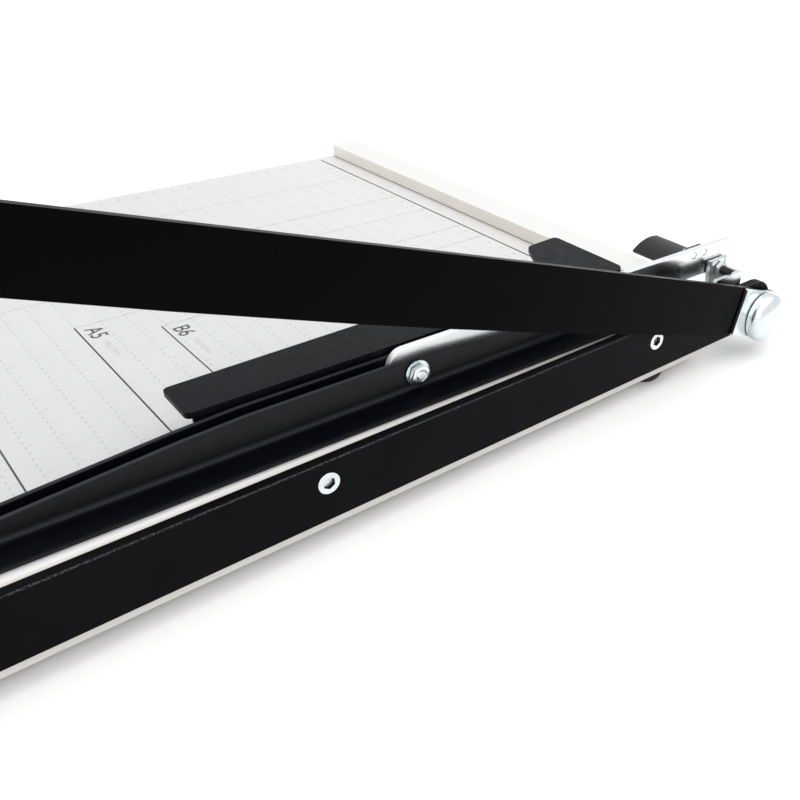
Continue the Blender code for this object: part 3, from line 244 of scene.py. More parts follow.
def carve(name, work, tools, edge=0.0):
    """Cut tool meshes out of a body, soften its sharp edges and return the final mesh."""
    body = bpy.data.objects.new(name, to_mesh(name, work))
    SCENE.collection.objects.link(body)
    cutters = []
    for tool in tools:
        cutter = bpy.data.objects.new("cutter", to_mesh("cutter", tool))
        SCENE.collection.objects.link(cutter)
        cutters.append(cutter)
        step = body.modifiers.new("cut", "BOOLEAN")
        step.operation = "DIFFERENCE"
        step.solver = "EXACT"
        step.object = cutter
    if edge:
        step = body.modifiers.new("edge", "BEVEL")
        step.width = edge * MM
        step.segments = 2
        step.limit_method = "ANGLE"
        step.angle_limit = SHARP_EDGE
    seen = body.evaluated_get(bpy.context.evaluated_depsgraph_get())
    mesh = bpy.data.meshes.new_from_object(seen)
    for item in cutters + [body]:
        bpy.data.objects.remove(item, do_unlink=True)
    return mesh


def add(name, shape, place, body, material, stands_for=(), crease=35):
    """Add a piece that rides on a body and may stand for CAD nodes."""
    mesh = to_mesh(name, shape) if isinstance(shape, bmesh.types.BMesh) else shape
    mesh.transform(place)
    piece = bpy.data.objects.new(name, mesh)
    SCENE.collection.objects.link(piece)
    mesh.materials.clear()
    mesh.materials.append(material)
    mesh.shade_smooth()
    mesh.set_sharp_from_angle(angle=math.radians(crease))
    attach(piece, body)
    if stands_for:
        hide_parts(*stands_for)
    return piece


# ---------------------------------------------------------------- materials

class Finish:
    """A procedural material, drawn in each piece's own metres."""

    def __init__(self, name, colour, roughness, metallic=0.0, specular=0.5):
        self.material = bpy.data.materials.new(name)
        self.material.use_nodes = True
        self.tree = self.material.node_tree
        self.shader = self.tree.nodes["Principled BSDF"]
        self.set("Base Color", (*colour, 1))
        self.set("Roughness", roughness)
        self.set("Metallic", metallic)
        self.set("Specular IOR Level", specular)
        self.where = self.node("ShaderNodeTexCoord").outputs["Object"]

    def node(self, kind, **values):
        """A new node; each value goes to the property or the input of that name."""
        made = self.tree.nodes.new(kind)
        for key, value in values.items():
            if hasattr(made, key):
                setattr(made, key, value)
            else:
                made.inputs[key.replace("_", " ")].default_value = value
        return made

    def set(self, socket, value):
        self.shader.inputs[socket].default_value = value

    def link(self, source, socket):
        """Link to another node's socket, or to the shader's socket of that name."""
        target = self.shader.inputs[socket] if isinstance(socket, str) else socket
        self.tree.links.new(source, target)

    def noise(self, scale, stretch=(1, 1, 1), detail=3.0):
        mapping = self.node("ShaderNodeMapping")
        mapping.inputs["Scale"].default_value = stretch
        self.link(self.where, mapping.inputs["Vector"])
        texture = self.node("ShaderNodeTexNoise", Scale=scale, Detail=detail, Roughness=0.55)
        self.link(mapping.outputs["Vector"], texture.inputs["Vector"])
        return texture.outputs["Fac"]

    def spread(self, source, low, high, start=0.3, end=0.7):
        """Map a source from start..end to low..high."""
        ranged = self.node("ShaderNodeMapRange")
        limits = (("From Min", start), ("From Max", end), ("To Min", low), ("To Max", high))
        for key, value in limits:
            ranged.inputs[key].default_value = value
        self.link(source, ranged.inputs["Value"])
        return ranged.outputs["Result"]

    def math(self, operation, one, two=0.0):
        made = self.node("ShaderNodeMath")
        made.operation = operation
        for socket, value in zip(made.inputs, (one, two)):
            if isinstance(value, float):
                socket.default_value = value
            else:
                self.link(value, socket)
        return made.outputs[0]

    def axis(self, name):
        """X, Y or Z of the piece's own coordinates."""
        split = self.node("ShaderNodeSeparateXYZ")
        self.link(self.where, split.inputs[0])
        return split.outputs[name]

    def facing(self, name):
        """X, Y or Z of the surface normal."""
        split = self.node("ShaderNodeSeparateXYZ")
        self.link(self.node("ShaderNodeNewGeometry").outputs["Normal"], split.inputs[0])
        return split.outputs[name]

    def mix(self, share, one, two):
        """Blend two colours; each is a triple or a socket."""
        made = self.node("ShaderNodeMix")
        made.data_type = "RGBA"
        self.link(share, made.inputs["Factor"])
        for socket, value in ((made.inputs[6], one), (made.inputs[7], two)):
            if isinstance(value, tuple):
                socket.default_value = (*value, 1)
            else:
                self.link(value, socket)
        return made.outputs[2]

    def bump(self, source, depth):
        """Raise the surface by a source, depth millimetres at most."""
        made = self.node("ShaderNodeBump")
        made.inputs["Distance"].default_value = depth * MM
        made.inputs["Strength"].default_value = 1.0
        self.link(source, made.inputs["Height"])
        self.link(made.outputs["Normal"], "Normal")


def paint(name, colour, other, roughness, specular, peel=0.004, grain=900, drag=(1, 1, 1)):
    """Sprayed paint: slight mottling, uneven gloss and a fine peel."""
    look = Finish(name, colour, roughness, specular=specular)
    look.link(look.mix(look.spread(look.noise(45, drag), 0.0, 1.0), colour, other), "Base Color")
    look.link(look.spread(look.noise(220, drag), roughness * 0.85, roughness * 1.15), "Roughness")
    look.bump(look.noise(grain, detail=2.0), peel)
    return look.material


def ivory_paint():
    """The tray's ivory paint, with the cooler, greyer print film on its flat top and a lighter
    strip by the cut line that is partly painted light.
    """
    look = Finish("ivory_paint", (0.78, 0.77, 0.74), 0.42, specular=0.35)
    walls = look.mix(look.spread(look.noise(60), 0.0, 1.0),
                     (0.66, 0.635, 0.605), (0.625, 0.605, 0.575))
    clouds = look.spread(look.noise(30, detail=5.0), 0.0, 1.0)
    film = look.mix(clouds, (0.585, 0.588, 0.587), (0.565, 0.568, 0.567))
    rear = look.spread(look.axis("Y"), 0.0, 1.0, ZERO.y - 0.16, ZERO.y - 0.01)
    film = look.mix(rear, film, (0.63, 0.63, 0.63))
    scuffs = look.spread(look.noise(260, (1.0, 0.09, 1.0), detail=6.0),
                         0.0, 0.35, 0.62, 0.75)
    film = look.mix(scuffs, film, (0.54, 0.542, 0.532))
    # Unprinted margin beside the cut line, painted lighter still: its colour also cancels the shade
    # that falls between the clamp bar and the blade.
    margin_and_painted_light = look.spread(look.axis("X"), 0.0, 1.0, ZERO.x - 0.0155, ZERO.x - 0.0140)
    film = look.mix(margin_and_painted_light, film, (0.76, 0.76, 0.77))
    top = look.math("GREATER_THAN", look.facing("Z"), 0.985)
    inside = look.math("GREATER_THAN", look.axis("Z"), ZERO.z - 0.0002)
    look.link(look.mix(look.math("MULTIPLY", top, inside), walls, film), "Base Color")
    look.link(look.spread(look.noise(150), 0.36, 0.5), "Roughness")
    look.bump(look.noise(1100, detail=2.0), 0.004)
    return look.material


def fence_paint():
    """Warm beige on the fence's sides, near white on its top."""
    look = Finish("fence_paint", (0.72, 0.69, 0.63), 0.4, specular=0.35)
    side = look.mix(look.spread(look.noise(70), 0.0, 1.0),
                    (0.72, 0.69, 0.625), (0.685, 0.655, 0.59))
    top = look.mix(look.spread(look.noise(40), 0.0, 1.0),
                   (0.70, 0.705, 0.69), (0.675, 0.68, 0.665))
    look.link(look.mix(look.spread(look.facing("Z"), 0.0, 1.0, 0.35, 0.8), side, top), "Base Color")
    look.link(look.spread(look.noise(190), 0.34, 0.47), "Roughness")
    look.bump(look.noise(1000, detail=2.0), 0.004)
    return look.material


def blade_paint():
    """Black fixed blade; the ground cutting edge along its top shows worn metal."""
    look = Finish("blade_paint", (0.002, 0.002, 0.003), 0.34, specular=0.05)
    black = look.mix(look.spread(look.noise(50), 0.0, 1.0),
                     (0.0012, 0.0013, 0.0022), (0.0026, 0.0027, 0.0038))
    near_edge = look.math(
        "MULTIPLY", look.spread(look.axis("Z"), 0.0, 1.0, ZERO.z - 0.0006, ZERO.z - 0.0003),
        look.spread(look.axis("X"), 0.0, 1.0, ZERO.x - 0.0006, ZERO.x - 0.0003))
    nicks = look.spread(look.noise(3200, detail=6.0), 0.0, 1.0, 0.46, 0.6)
    wear = look.math("MULTIPLY", near_edge, nicks)
    look.link(look.mix(wear, black, (0.085, 0.085, 0.09)), "Base Color")
    look.link(look.spread(look.noise(260, (1, 0.2, 1)), 0.32, 0.44), "Roughness")
    look.bump(look.noise(1300, detail=2.0), 0.003)
    return look.material


def clamp_paint():
    """Bluish satin black: dull on the flat flange, with a painted highlight (a lighter colour)
    along the walls' rounded tops.
    """
    look = Finish("clamp_satin_black", (0.002, 0.002, 0.003), 0.34, specular=0.2)
    upward = look.facing("Z")
    high = look.spread(look.axis("Z"), 0.0, 1.0, ZERO.z + 0.0030, ZERO.z + 0.0036)
    # Painted highlight: up-facing surfaces high on the walls get a lighter colour, standing in for
    # the light the rounded lips catch.
    painted_lip_highlight = look.math("MULTIPLY", look.spread(upward, 0.0, 1.0, 0.25, 0.8), high)
    black = look.mix(look.spread(look.noise(45), 0.0, 1.0),
                     (0.0018, 0.0020, 0.0036), (0.0026, 0.0029, 0.0046))
    look.link(look.mix(painted_lip_highlight, black, (0.034, 0.036, 0.044)), "Base Color")
    look.link(look.spread(upward, 0.24, 0.02, 0.0, 0.8), "Specular IOR Level")
    look.link(look.spread(look.noise(220), 0.3, 0.4), "Roughness")
    look.bump(look.noise(900, detail=2.0), 0.003)
    return look.material


def lever_zinc():
    """Zinc plate, dull at the lever's worked nose and bright towards its tail."""
    look = Finish("satin_zinc_plate", (0.84, 0.86, 0.865), 0.3, metallic=1.0)
    clouds = look.spread(look.noise(90, detail=4.0), 0.0, 1.0, 0.35, 0.68)
    look.link(look.mix(clouds, (0.90, 0.92, 0.925), (0.85, 0.875, 0.885)), "Base Color")
    tail = look.spread(look.axis("Y"), 0.0, 1.0, ZERO.y - 0.06, ZERO.y)
    look.link(look.spread(tail, 0.7, 1.0, 0.0, 1.0), "Metallic")
    look.link(look.spread(tail, 0.42, 0.17, 0.0, 1.0), "Roughness")
    look.bump(look.noise(600, (1, 0.3, 1), detail=3.0), 0.0008)
    return look.material


def metal(name, colour, other, roughness, grain=(1, 1, 1), scale=400, depth=0.004):
    """Bare or plated metal: clouded colour, uneven shine and fine marks along its grain."""
    look = Finish(name, colour, roughness, metallic=1.0)
    clouds = look.spread(look.noise(120, detail=5.0), 0.0, 1.0, 0.35, 0.68)
    look.link(look.mix(clouds, colour, other), "Base Color")
    shine = look.spread(look.noise(scale, grain, detail=4.0), roughness * 0.7, roughness * 1.4)
    look.link(shine, "Roughness")
    look.bump(look.noise(scale * 2.0, grain, detail=4.0), depth)
    return look.material


def rubber():
    """Dull black rubber with a fine skin."""
    look = Finish("soft_rubber", (0.012, 0.012, 0.012), 0.8, specular=0.3)
    black = look.mix(look.spread(look.noise(300), 0.0, 1.0),
                     (0.010, 0.010, 0.010), (0.020, 0.019, 0.018))
    look.link(black, "Base Color")
    look.link(look.spread(look.noise(500), 0.7, 0.9), "Roughness")
    look.bump(look.noise(2200, detail=4.0), 0.02)
    return look.material


def ink(name, colour, other):
    """Slightly uneven printing ink."""
    look = Finish(name, colour, 0.5, specular=0.3)
    clouds = look.spread(look.noise(900, detail=4.0), 0.0, 1.0)
    look.link(look.mix(clouds, colour, other), "Base Color")
    look.link(look.spread(look.noise(700), 0.42, 0.58), "Roughness")
    return look.material


IVORY = ivory_paint()
FENCE = fence_paint()
BLADE = blade_paint()
ARM_BLACK = paint("arm_satin_black", (0.0004, 0.0004, 0.0004), (0.0008, 0.0008, 0.0008),
                  0.3, 0.03, drag=(1, 0.25, 1))
CLAMP_BLACK = clamp_paint()
PRESS_BLACK = paint("press_satin_black", (0.0026, 0.0032, 0.0058), (0.0038, 0.0044, 0.0072),
                    0.4, 0.075, peel=0.006)
TAB_BLACK = paint("tab_satin_black", (0.010, 0.010, 0.014), (0.015, 0.015, 0.019), 0.36, 0.28)
ZINC = metal("bright_zinc_plate", (0.74, 0.785, 0.795), (0.66, 0.71, 0.725), 0.19,
             depth=0.0015)
SATIN_ZINC = lever_zinc()
SOCKET_DARK = metal("socket_shadow_steel", (0.05, 0.05, 0.05), (0.03, 0.03, 0.03), 0.5)
STEEL = metal("plain_steel_parts", (0.60, 0.61, 0.62), (0.48, 0.49, 0.50), 0.32)
GROUND = metal("ground_steel", (0.66, 0.67, 0.68), (0.56, 0.57, 0.58), 0.26,
               grain=(1, 14, 14), scale=300)
OXIDE = metal("black_oxide", (0.030, 0.030, 0.032), (0.050, 0.050, 0.052), 0.36)
RUBBER = rubber()
GRIP = paint("grip_moulded_black", (0.010, 0.010, 0.011), (0.015, 0.015, 0.016), 0.46, 0.35,
             peel=0.03, grain=1500)
INK = ink("dark_ink", (0.045, 0.045, 0.05), (0.09, 0.09, 0.10))
GREY_INK = ink("grey_ink", (0.42, 0.425, 0.435), (0.50, 0.505, 0.51))

# ---------------------------------------------------------------- CAD nodes that stay

# Each node, or each start of numbered nodes, with its slot and material
KEPT = {
    "base_tray": ("tray_paint", IVORY), "tray_brace_": ("tray_paint", IVORY),
    "fence": ("fence_paint", FENCE), "fixed_blade": ("blade_black", BLADE),
    "hinge_bracket": ("bright_zinc", ZINC), "clamp_lever": ("bright_zinc", SATIN_ZINC),
    "pivot_plate": ("bright_zinc", ZINC), "press_rivet_": ("bright_zinc", SATIN_ZINC),
    "tab_rivet_": ("bright_zinc", SATIN_ZINC), "bracket_screw_": ("bright_zinc", ZINC),
    "cutting_arm": ("arm_black", ARM_BLACK), "press_plate": ("clamp_black", PRESS_BLACK),
    "lift_tab": ("clamp_black", TAB_BLACK), "clamp_pad": ("rubber", RUBBER),
    "rubber_foot_": ("rubber", RUBBER), "fixed_blade_nut_": ("plain_steel", STEEL),
    "foot_screw_": ("plain_steel", STEEL), "fence_screw_": ("plain_steel", STEEL),
}


def dress(node, material):
    """Give a CAD node its material and clean shading."""
    piece = frame["nodes"][node]
    mesh = piece.data
    mesh.materials.clear()
    mesh.materials.append(material)
    mesh.polygons.foreach_set("use_smooth", [True] * len(mesh.polygons))
    weld = piece.modifiers.new("weld", "WELD")
    weld.merge_threshold = SAME_SPOT
    split = piece.modifiers.new("split", "EDGE_SPLIT")
    split.split_angle = math.radians(38)
    piece.modifiers.new("normals", "WEIGHTED_NORMAL").keep_sharp = True


def belongs(node, start):
    numbered = start.endswith("_") and node.startswith(start) and node[len(start):].isdigit()
    return node == start or numbered


for node in sorted(frame["nodes"]):
    for start, (slot, material) in KEPT.items():
        if belongs(node, start):
            dress(node, material)

# ---------------------------------------------------------------- pivot

# Heights run along the pivot, outwards from the cut line
BOLT_SEAT = 5.9
HEAD_RADIUS, HEAD_RIM, HEAD_DOME = 12.0, 2.2, 6.6
DOME_POWER = 0.8
PIVOT_RADIUS, PIVOT_PITCH = 4.0, 1.25
WASHER_FACES = (-4.5, -17.1)
ARM_SIDE = ARM @ SIDEWAYS
PIVOT_SIDE = at(0, 52, -15) @ SIDEWAYS


def pivot_head():
    """The pivot bolt's domed head with its plain shank."""
    profile = []
    steps = 26
    for step in range(steps + 1):
        angle = math.pi / 2 * step / steps
        radius = HEAD_RADIUS * math.sin(angle) ** DOME_POWER
        height = HEAD_DOME * max(math.cos(angle), 0) ** DOME_POWER
        profile.append((radius, BOLT_SEAT + HEAD_RIM + height))
    profile += [(HEAD_RADIUS, BOLT_SEAT + 0.35), (11.65, BOLT_SEAT), (4.2, BOLT_SEAT),
                (PIVOT_RADIUS, BOLT_SEAT - 0.2), (PIVOT_RADIUS, -17.4), (3.6, -18.0), (0, -18.0)]
    return turned(profile, 96)


add("pivot_bolt_head", pivot_head(), ARM_SIDE, "blade_arm", ZINC, ["pivot_bolt"])
add("pivot_bolt_thread", thread(PIVOT_RADIUS, PIVOT_PITCH, -27.9, -17.9), ARM_SIDE, "blade_arm",
    ZINC)
add("pivot_lock_nut", hex_nut(13.0, 3.9, -25.4, -18.9), ARM_SIDE, "blade_arm",
    ZINC, ["pivot_nut"])
for number, face in enumerate(WASHER_FACES, 1):
    ring = [(7.5, face - 0.2), (7.5, face - 1.3), (7.3, face - 1.5), (4.4, face - 1.5),
            (4.3, face - 1.4), (4.3, face - 0.1), (4.4, face), (7.3, face)]
    add("pivot_flat_washer_" + str(number), turned(ring, 64, closed=True), PIVOT_SIDE, "table",
        ZINC, ["pivot_washer_" + str(number)])
add("pivot_wound_spring", wire_coil(5.8, 0.8, -16.0, -7.1, 4), PIVOT_SIDE, "table",
    STEEL, ["pivot_spring"])

# ---------------------------------------------------------------- fixed blade screws

BLADE_SCREWS_Y, BLADE_SCREWS_Z = (-16.77, -178.62, -340.47), -9
SOCKET_ACROSS, SOCKET_FLOOR = 4.0, -2.0
HEX_SOCKET = [circle(SOCKET_ACROSS / math.sqrt(3), height, 6) for height in (SOCKET_FLOOR, 1.0)]
for number, along in enumerate(BLADE_SCREWS_Y, 1):
    profile = [(0, -0.2), (3.95, -0.2), (4.2, -0.4), (2.2, -2.4), (2.2, -9.3), (0, -9.3)]
    screw = carve("socket_screw", turned(profile, 64), [skin(HEX_SOCKET)], 0.12)
    socket_faces = [-1.9 * MM < face.center.z < -0.3 * MM and face.center.xy.length < 2.4 * MM
                    for face in screw.polygons]
    piece = add("blade_socket_screw_" + str(number), screw,
                at(0, along, BLADE_SCREWS_Z) @ SIDEWAYS, "table", ZINC,
                ["fixed_blade_screw_" + str(number)])
    piece.data.materials.append(SOCKET_DARK)
    piece.data.polygons.foreach_set("material_index", [int(dark) for dark in socket_faces])

# ---------------------------------------------------------------- hinge bolt and nut

# An M4 bolt and nut, as on the clamp bar
M4_RADIUS, M4_PITCH, M4_ACROSS, M4_BORE = 2.0, 0.7, 7.0, 1.95
HINGE_SIDE = joint_spot("clamp_lift") @ SIDEWAYS
head = [(0, -4.4), (1.6, -4.4), (2.9, -4.05), (3.5, -3.2), (3.5, -1.95), (3.35, -1.8),
        (M4_RADIUS, -1.8), (M4_RADIUS, 3.9), (0, 3.9)]
add("hinge_bolt_head", turned(head, 48), HINGE_SIDE, "table", OXIDE, ["hinge_bolt"])
add("hinge_bolt_thread", thread(M4_RADIUS, M4_PITCH, 3.9, 10.8, 32), HINGE_SIDE, "table",
    OXIDE)
add("hinge_hex_nut", hex_nut(M4_ACROSS, M4_BORE, 4.4, 6.6, math.radians(30)), HINGE_SIDE,
    "table", STEEL, ["hinge_nut"])

# ---------------------------------------------------------------- clamp bar with its bolt

# Lengths run along the bar from its bolt; heights are above the table, the bolt at BAR_Z
BAR_Z = 9.3
BAR_FRONT, BAR_REAR = -223.3, 123.2
WALL_TOPS = [(-223.3, 3.2), (-84.8, 14.4), (-63.8, 15.4), (6.2, 15.4), (123.2, 5.0)]
BAR_FLOOR, BAR_FLOOR_TOP = 1.2, 2.6
WALL_LEFT, SLOT_LEFT, SLOT_RIGHT, WALL_RIGHT, FLANGE_EDGE = -4.0, -2.3, 2.5, 4.2, 15.1
LEFT_WALL_END = 67.2
BORE_RADIUS = 2.3


def wall_top(along):
    """The walls' height at one place along the bar."""
    for (y0, z0), (y1, z1) in zip(WALL_TOPS, WALL_TOPS[1:]):
        if along <= y1:
            return z0 + (z1 - z0) * (along - y0) / (y1 - y0)
    return WALL_TOPS[-1][1]


def clamp_section(along):
    """The folded channel's outline at one place along it."""
    top = wall_top(along)
    rise = top - BAR_FLOOR_TOP
    fillet = min(2.4, rise * 0.7)
    lip = min(0.7, rise * 0.3)
    inner = min(0.6, rise * 0.3)
    outline = rounded([(WALL_LEFT, BAR_FLOOR, 0.4), (FLANGE_EDGE, BAR_FLOOR, 0.45),
                       (FLANGE_EDGE, BAR_FLOOR_TOP, 0.65), (WALL_RIGHT, BAR_FLOOR_TOP, fillet),
                       (WALL_RIGHT, top, lip), (SLOT_RIGHT, top, lip),
                       (SLOT_RIGHT, BAR_FLOOR_TOP, inner), (SLOT_LEFT, BAR_FLOOR_TOP, inner),
                       (SLOT_LEFT, top, lip), (WALL_LEFT, top, lip)])
    return [(across, along, up - BAR_Z) for across, up in outline]


BAR_STEPS = 44
stations = sorted({BAR_FRONT + (BAR_REAR - BAR_FRONT) * i / BAR_STEPS for i in range(BAR_STEPS + 1)}
                  | {along for along, top in WALL_TOPS})
channel = skin([clamp_section(along) for along in stations])
cutback = boxes([((-8.0, LEFT_WALL_END, BAR_FLOOR_TOP - BAR_Z), (-2.25, 130.0, 12.0))])
bore = turned([(0, -8), (BORE_RADIUS, -8), (BORE_RADIUS, 8), (0, 8)], 48)
bmesh.ops.transform(bore, matrix=SIDEWAYS, verts=bore.verts)
add("clamp_channel", carve("clamp_channel", channel, [cutback, bore], 0.3), BAR, "paper_clamp",
    CLAMP_BLACK, ["clamp_bar"], crease=40)

BAR_SIDE = BAR @ SIDEWAYS
washer = [(5.0, 4.6), (5.0, 5.2), (4.9, 5.3), (2.4, 5.3), (2.3, 5.2), (2.3, 4.6), (2.4, 4.5),
          (4.9, 4.5)]
add("clamp_flat_washer", turned(washer, 64, closed=True), BAR_SIDE, "paper_clamp",
    ZINC, ["clamp_washer"])
add("clamp_hex_nut", hex_nut(M4_ACROSS, M4_BORE, 5.6, 7.8, math.radians(12)), BAR_SIDE,
    "paper_clamp", ZINC, ["clamp_nut"])
shank = [(0, -4.2), (M4_RADIUS, -4.2), (M4_RADIUS, 5.4), (0, 5.4)]
add("clamp_bolt_shank", turned(shank, 40), BAR_SIDE, "paper_clamp", ZINC,
    ["clamp_bolt"])
add("clamp_bolt_thread", thread(M4_RADIUS, M4_PITCH, 5.3, 8.2), BAR_SIDE, "paper_clamp",
    ZINC)

HEAD_TOP, HEAD_EDGE, HEAD_FOOT = -7.1, -6.8, -4.3


def hexagon(share, height):
    """One ring of the clamp bolt's hexagonal head."""
    ring = []
    for i in range(72):
        angle = math.pi * i / 36
        reach = share * hex_radius(angle, M4_ACROSS) * 0.99
        ring.append((reach * math.cos(angle), reach * math.sin(angle), height))
    return ring


rings = [[(0, 0, HEAD_TOP)], hexagon(0.9, HEAD_TOP), hexagon(1.0, HEAD_EDGE),
         hexagon(1.0, HEAD_FOOT), [(0, 0, HEAD_FOOT)]]
add("clamp_bolt_hex_head", skin(rings), BAR_SIDE, "paper_clamp", ZINC)

# ---------------------------------------------------------------- grip

GRIP_START, GRIP_LENGTH, GRIP_RADIUS = 424.5, 116.0, 14.5
GRIP_MIDDLE = (1.8, 4.03)
GRIP_SCREWS = (18.0, 55.8)
GROOVES, GROOVE_DEPTH, GROOVE_WIDTH = (9.0, 12.5, 16.0), 0.45, 0.45
# The grip's outline, as shares of its length and of its radius
ALONG = (0.0, 0.015, 0.05, 0.15, 0.3, 0.45, 0.6, 0.72, 0.82, 0.89, 0.94, 0.975, 0.995, 1.0)
AROUND = (0.72, 0.81, 0.84, 0.89, 0.97, 1.0, 0.96, 0.92, 0.93, 0.93, 0.86, 0.7, 0.4, 0.0)


def smooth_line(points, steps=6):
    """A soft curve through points."""
    line = []
    for index in range(len(points) - 1):
        a = Vector(points[max(index - 1, 0)])
        b, c = Vector(points[index]), Vector(points[index + 1])
        d = Vector(points[min(index + 2, len(points) - 1)])
        for step in range(steps):
            t = step / steps
            line.append((b * 2 + (c - a) * t + (a * 2 - b * 5 + c * 4 - d) * t * t
                         + (b * 3 - a - c * 3 + d) * t ** 3) / 2)
    line.append(Vector(points[-1]))
    return line


def grip_body():
    """The turned grip with three fine grooves by its rear end."""
    line = smooth_line([(GRIP_RADIUS * around, GRIP_LENGTH * along)
                        for around, along in zip(AROUND, ALONG)])
    profile = [(0, 0)]
    for radius, along in line:
        radius = min(max(radius, 0), GRIP_RADIUS)
        for groove in GROOVES:
            radius -= GROOVE_DEPTH * math.exp(-((along - groove) / GROOVE_WIDTH) ** 2)
        profile.append((radius if along < GRIP_LENGTH else 0, along))
    return turned(profile, 72)


grip_place = ARM @ Matrix.Translation(Vector((GRIP_MIDDLE[0], -GRIP_START, GRIP_MIDDLE[1])) * MM)
grip_turn = grip_place @ Matrix.Rotation(math.radians(90), 4, "X")
slot_box = boxes([((-1.8, -6.55, -4), (1.8, 6.55, 84.3))])
wells = []
for along in GRIP_SCREWS:
    for side in (-1, 1):
        well = turned([(0, 10.0 * side), (3.9, 10.0 * side), (3.9, 20.0 * side),
                       (0, 20.0 * side)], 40)
        bmesh.ops.transform(well, matrix=SIDEWAYS, verts=well.verts)
        bmesh.ops.translate(well, vec=Vector((0, 0, along)) * MM, verts=well.verts)
        wells.append(well)
add("grip_handle", carve("grip_handle", grip_body(), [slot_box] + wells, 0.25), grip_turn,
    "blade_arm", GRIP, ["grip"])


def cross_screw(radius, head, seat, face, end):
    """A screw along Z with a low crowned head, cut with a cross."""
    profile = [(0, face), (head * 0.5, face - 0.08), (head * 0.85, face - 0.35),
               (head, face - 0.8), (head, seat + 0.1), (head - 0.1, seat), (radius, seat),
               (radius, end), (0, end)]
    low = face - 1.1
    cross = [boxes([((-head * 0.62, -0.45, low), (head * 0.62, 0.45, face + 1))]),
             boxes([((-0.45, -head * 0.62, low), (0.45, head * 0.62, face + 1))])]
    return carve("cross_screw", turned(profile, 48), cross, 0.06)


for number, along in enumerate(GRIP_SCREWS, 1):
    for side in (-1, 1):
        turn = SIDEWAYS if side > 0 else Matrix.Rotation(math.radians(-90), 4, "Y")
        spot = grip_place @ Matrix.Translation(Vector((0, -along, 0)) * MM) @ turn
        name = "grip_cross_screw_" + str(number) + ("_right" if side > 0 else "_left")
        add(name, cross_screw(2.0, 3.6, 10.3, 12.1, -1.0), spot, "blade_arm", STEEL,
            ["grip_screw_" + str(number)])

# ---------------------------------------------------------------- ground edge of the arm

# Lengths run forwards from the pivot; the arm is deepest at its belly
ARM_FRONT, BELLY, BELLY_DEPTH = 418.5, 153.2, 13.6
REAR_RISE, FRONT_RISE = 2.55, 9.6
EDGE_STEPS = 60


def arm_edge(along):
    """The height of the arm's lower edge at one place along it."""
    if along < BELLY:
        return REAR_RISE * ((BELLY - along) / BELLY) ** 2 - BELLY_DEPTH
    return FRONT_RISE * ((along - BELLY) / (ARM_FRONT - BELLY)) ** 2 - BELLY_DEPTH


strip = []
for step in range(EDGE_STEPS + 1):
    along = 22.0 + (ARM_FRONT - 26.0) * step / EDGE_STEPS
    low = arm_edge(along) + 0.3
    strip.append([(0.36, -along, low), (0.24, -along, low), (0.24, -along, low + 2.2),
                  (0.29, -along, low + 3.0), (0.36, -along, low + 3.0)])
add("arm_ground_edge", skin(strip), ARM, "blade_arm", GROUND)

# ---------------------------------------------------------------- printed marks on the table

INK_LOW, INK_TOP = -0.06, 0.02
LEFT_MARK, RULER_Y = -299.0, -11.1


def mark(x0, y0, x1, y1):
    """A flat printed bar between two corners, sunk a little into the table."""
    return (x0, y0, INK_LOW), (x1, y1, INK_TOP)


dark = [mark(LEFT_MARK, RULER_Y - 0.5, -6.0, RULER_Y + 0.5)]
grey = []
# Each paper size with the corner of its lines
SIZES = (("A5", -148.4, -210.0), ("B6", -128.5, -182.0), ("B5", -182.0, -256.7),
         ("A4", -210.0, -297.0), ("B4", -257.0, -358.0))
for name, corner_x, corner_y in SIZES:
    dark.append(mark(corner_x, corner_y - 0.32, -30.0, corner_y + 0.32))
    grey.append(mark(corner_x - 0.3, corner_y, corner_x + 0.3, RULER_Y))
for tenth in range(2, 36):
    line = -10.0 * tenth
    for dot in range(69):
        x = -297.0 + dot * 4.0
        grey.append(mark(x - 0.75, line - 0.28, x + 0.75, line + 0.28))
for tenth in range(3, 30):
    line = -10.0 * tenth
    for dot in range(34):
        y = -17.0 - dot * 10.0
        grey.append(mark(line - 0.14, y - 2.0, line + 0.14, y))
add("print_dark_lines", boxes(dark), TABLE, "table", INK)
add("print_grey_lines", boxes(grey), TABLE, "table", GREY_INK)


def lettering(name, words, material):
    """Flat printed words; each is (text, x, y, height), placed by its middle."""
    capital_share = 0.69
    work = bmesh.new()
    for text, x, y, height in words:
        curve = bpy.data.curves.new("word", "FONT")
        curve.body = text
        curve.size = height * MM / capital_share
        curve.align_x = "CENTER"
        curve.align_y = "CENTER"
        curve.extrude = (INK_TOP - INK_LOW) / 2 * MM
        curve.offset = height * 0.012 * MM
        curve.resolution_u = 3
        word = bpy.data.objects.new("word", curve)
        SCENE.collection.objects.link(word)
        seen = word.evaluated_get(bpy.context.evaluated_depsgraph_get())
        mesh = bpy.data.meshes.new_from_object(seen)
        mesh.transform(Matrix.Translation(Vector((x, y, (INK_TOP + INK_LOW) / 2)) * MM))
        work.from_mesh(mesh)
        bpy.data.objects.remove(word, do_unlink=True)
        bpy.data.meshes.remove(mesh)
    bmesh.ops.remove_doubles(work, verts=work.verts, dist=SAME_SPOT)
    add(name, work, TABLE, "table", material)


size_names = [(name, corner_x + 9.2, corner_y + 5.4, 6.5) for name, corner_x, corner_y in SIZES]
lettering("print_size_names", size_names, INK)
numbers = [(str(n), -25.4 * n, -6.4, 2.1) for n in range(2, 12)]
numbers += [(str(n), -10.0 * n, -15.6, 1.9) for n in range(3, 29)]
numbers += [(str(n), -296.0, -10.0 * n, 1.9) for n in range(3, 35)]
lettering("print_ruler_numbers", numbers, GREY_INK)
size_figures = [("148x210mm", -122.0, -204.0, 2.3), ("128x182mm", -102.3, -176.0, 2.3),
                ("182x257mm", -155.6, -250.7, 2.3), ("210x297mm", -183.6, -291.0, 2.3),
                ("257x364mm", -230.6, -352.0, 2.3)]
lettering("print_size_figures", size_figures, GREY_INK)

# ---------------------------------------------------------------- studio

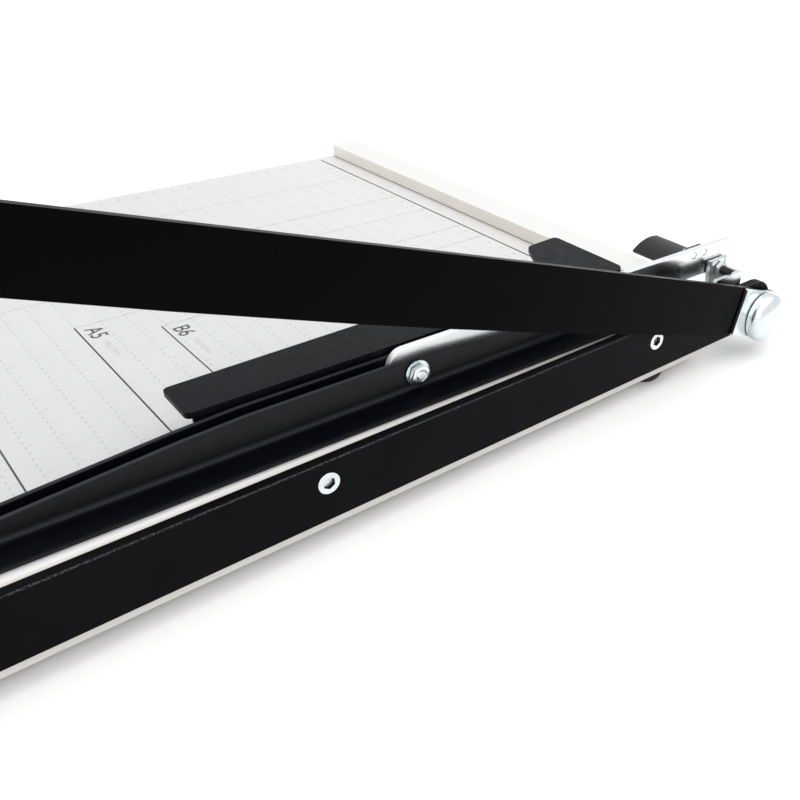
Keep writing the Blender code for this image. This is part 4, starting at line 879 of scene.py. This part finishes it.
floor_mesh = bpy.data.meshes.new("floor")
REACH = 6
floor_corners = [(-REACH, -REACH, 0), (REACH, -REACH, 0), (REACH, REACH, 0), (-REACH, REACH, 0)]
floor_mesh.from_pydata(floor_corners, [], [(0, 1, 2, 3)])
floor = bpy.data.objects.new("floor", floor_mesh)
SCENE.collection.objects.link(floor)
floor_look = Finish("pale_floor", (0.99, 0.99, 0.99), 0.7, specular=0.2)
floor_mesh.materials.append(floor_look.material)

world = bpy.data.worlds.new("studio")
SCENE.world = world
world.use_nodes = True
world.node_tree.nodes["Background"].inputs["Color"].default_value = (1, 1, 1, 1)
world.node_tree.nodes["Background"].inputs["Strength"].default_value = 1.0


def area_light(name, place, aim, size, power):
    """A square light at a place, turned towards its aim."""
    lamp = bpy.data.lights.new(name, "AREA")
    lamp.shape = "SQUARE"
    lamp.size = size
    lamp.energy = power
    light = bpy.data.objects.new(name, lamp)
    SCENE.collection.objects.link(light)
    light.location = place
    light.rotation_mode = "QUATERNION"
    light.rotation_quaternion = (Vector(aim) - Vector(place)).to_track_quat("-Z", "Y")


area_light("key", (0.5, 0.4, 2.0), (0, 0, 0), 2.4, 20)
area_light("fill", (1.3, -1.4, 1.2), (0, 0, 0), 2.0, 11)

SCENE.view_settings.view_transform = "Standard"
SCENE.view_settings.look = "None"

camera_data = bpy.data.cameras.new("photo_camera")
camera = bpy.data.objects.new("photo_camera", camera_data)
SCENE.collection.objects.link(camera)
SCENE.camera = camera
camera_data.sensor_fit = "HORIZONTAL"
camera_data.sensor_width = SENSOR_WIDTH
camera_data.lens = LENS
camera_data.shift_x = SHIFT
camera_data.clip_start = 0.01
camera_data.clip_end = 100
back = Vector((math.sin(CAMERA_AZIMUTH) * math.cos(CAMERA_ELEVATION),
               -math.cos(CAMERA_AZIMUTH) * math.cos(CAMERA_ELEVATION), math.sin(CAMERA_ELEVATION)))
level = Vector((0, 0, 1)).cross(back).normalized()
tall = back.cross(level)
right = level * math.cos(CAMERA_ROLL) + tall * math.sin(CAMERA_ROLL)
up = tall * math.cos(CAMERA_ROLL) - level * math.sin(CAMERA_ROLL)
turn = Matrix((right, up, back)).transposed().to_4x4()
camera.matrix_world = at(*CAMERA_AT) @ turn
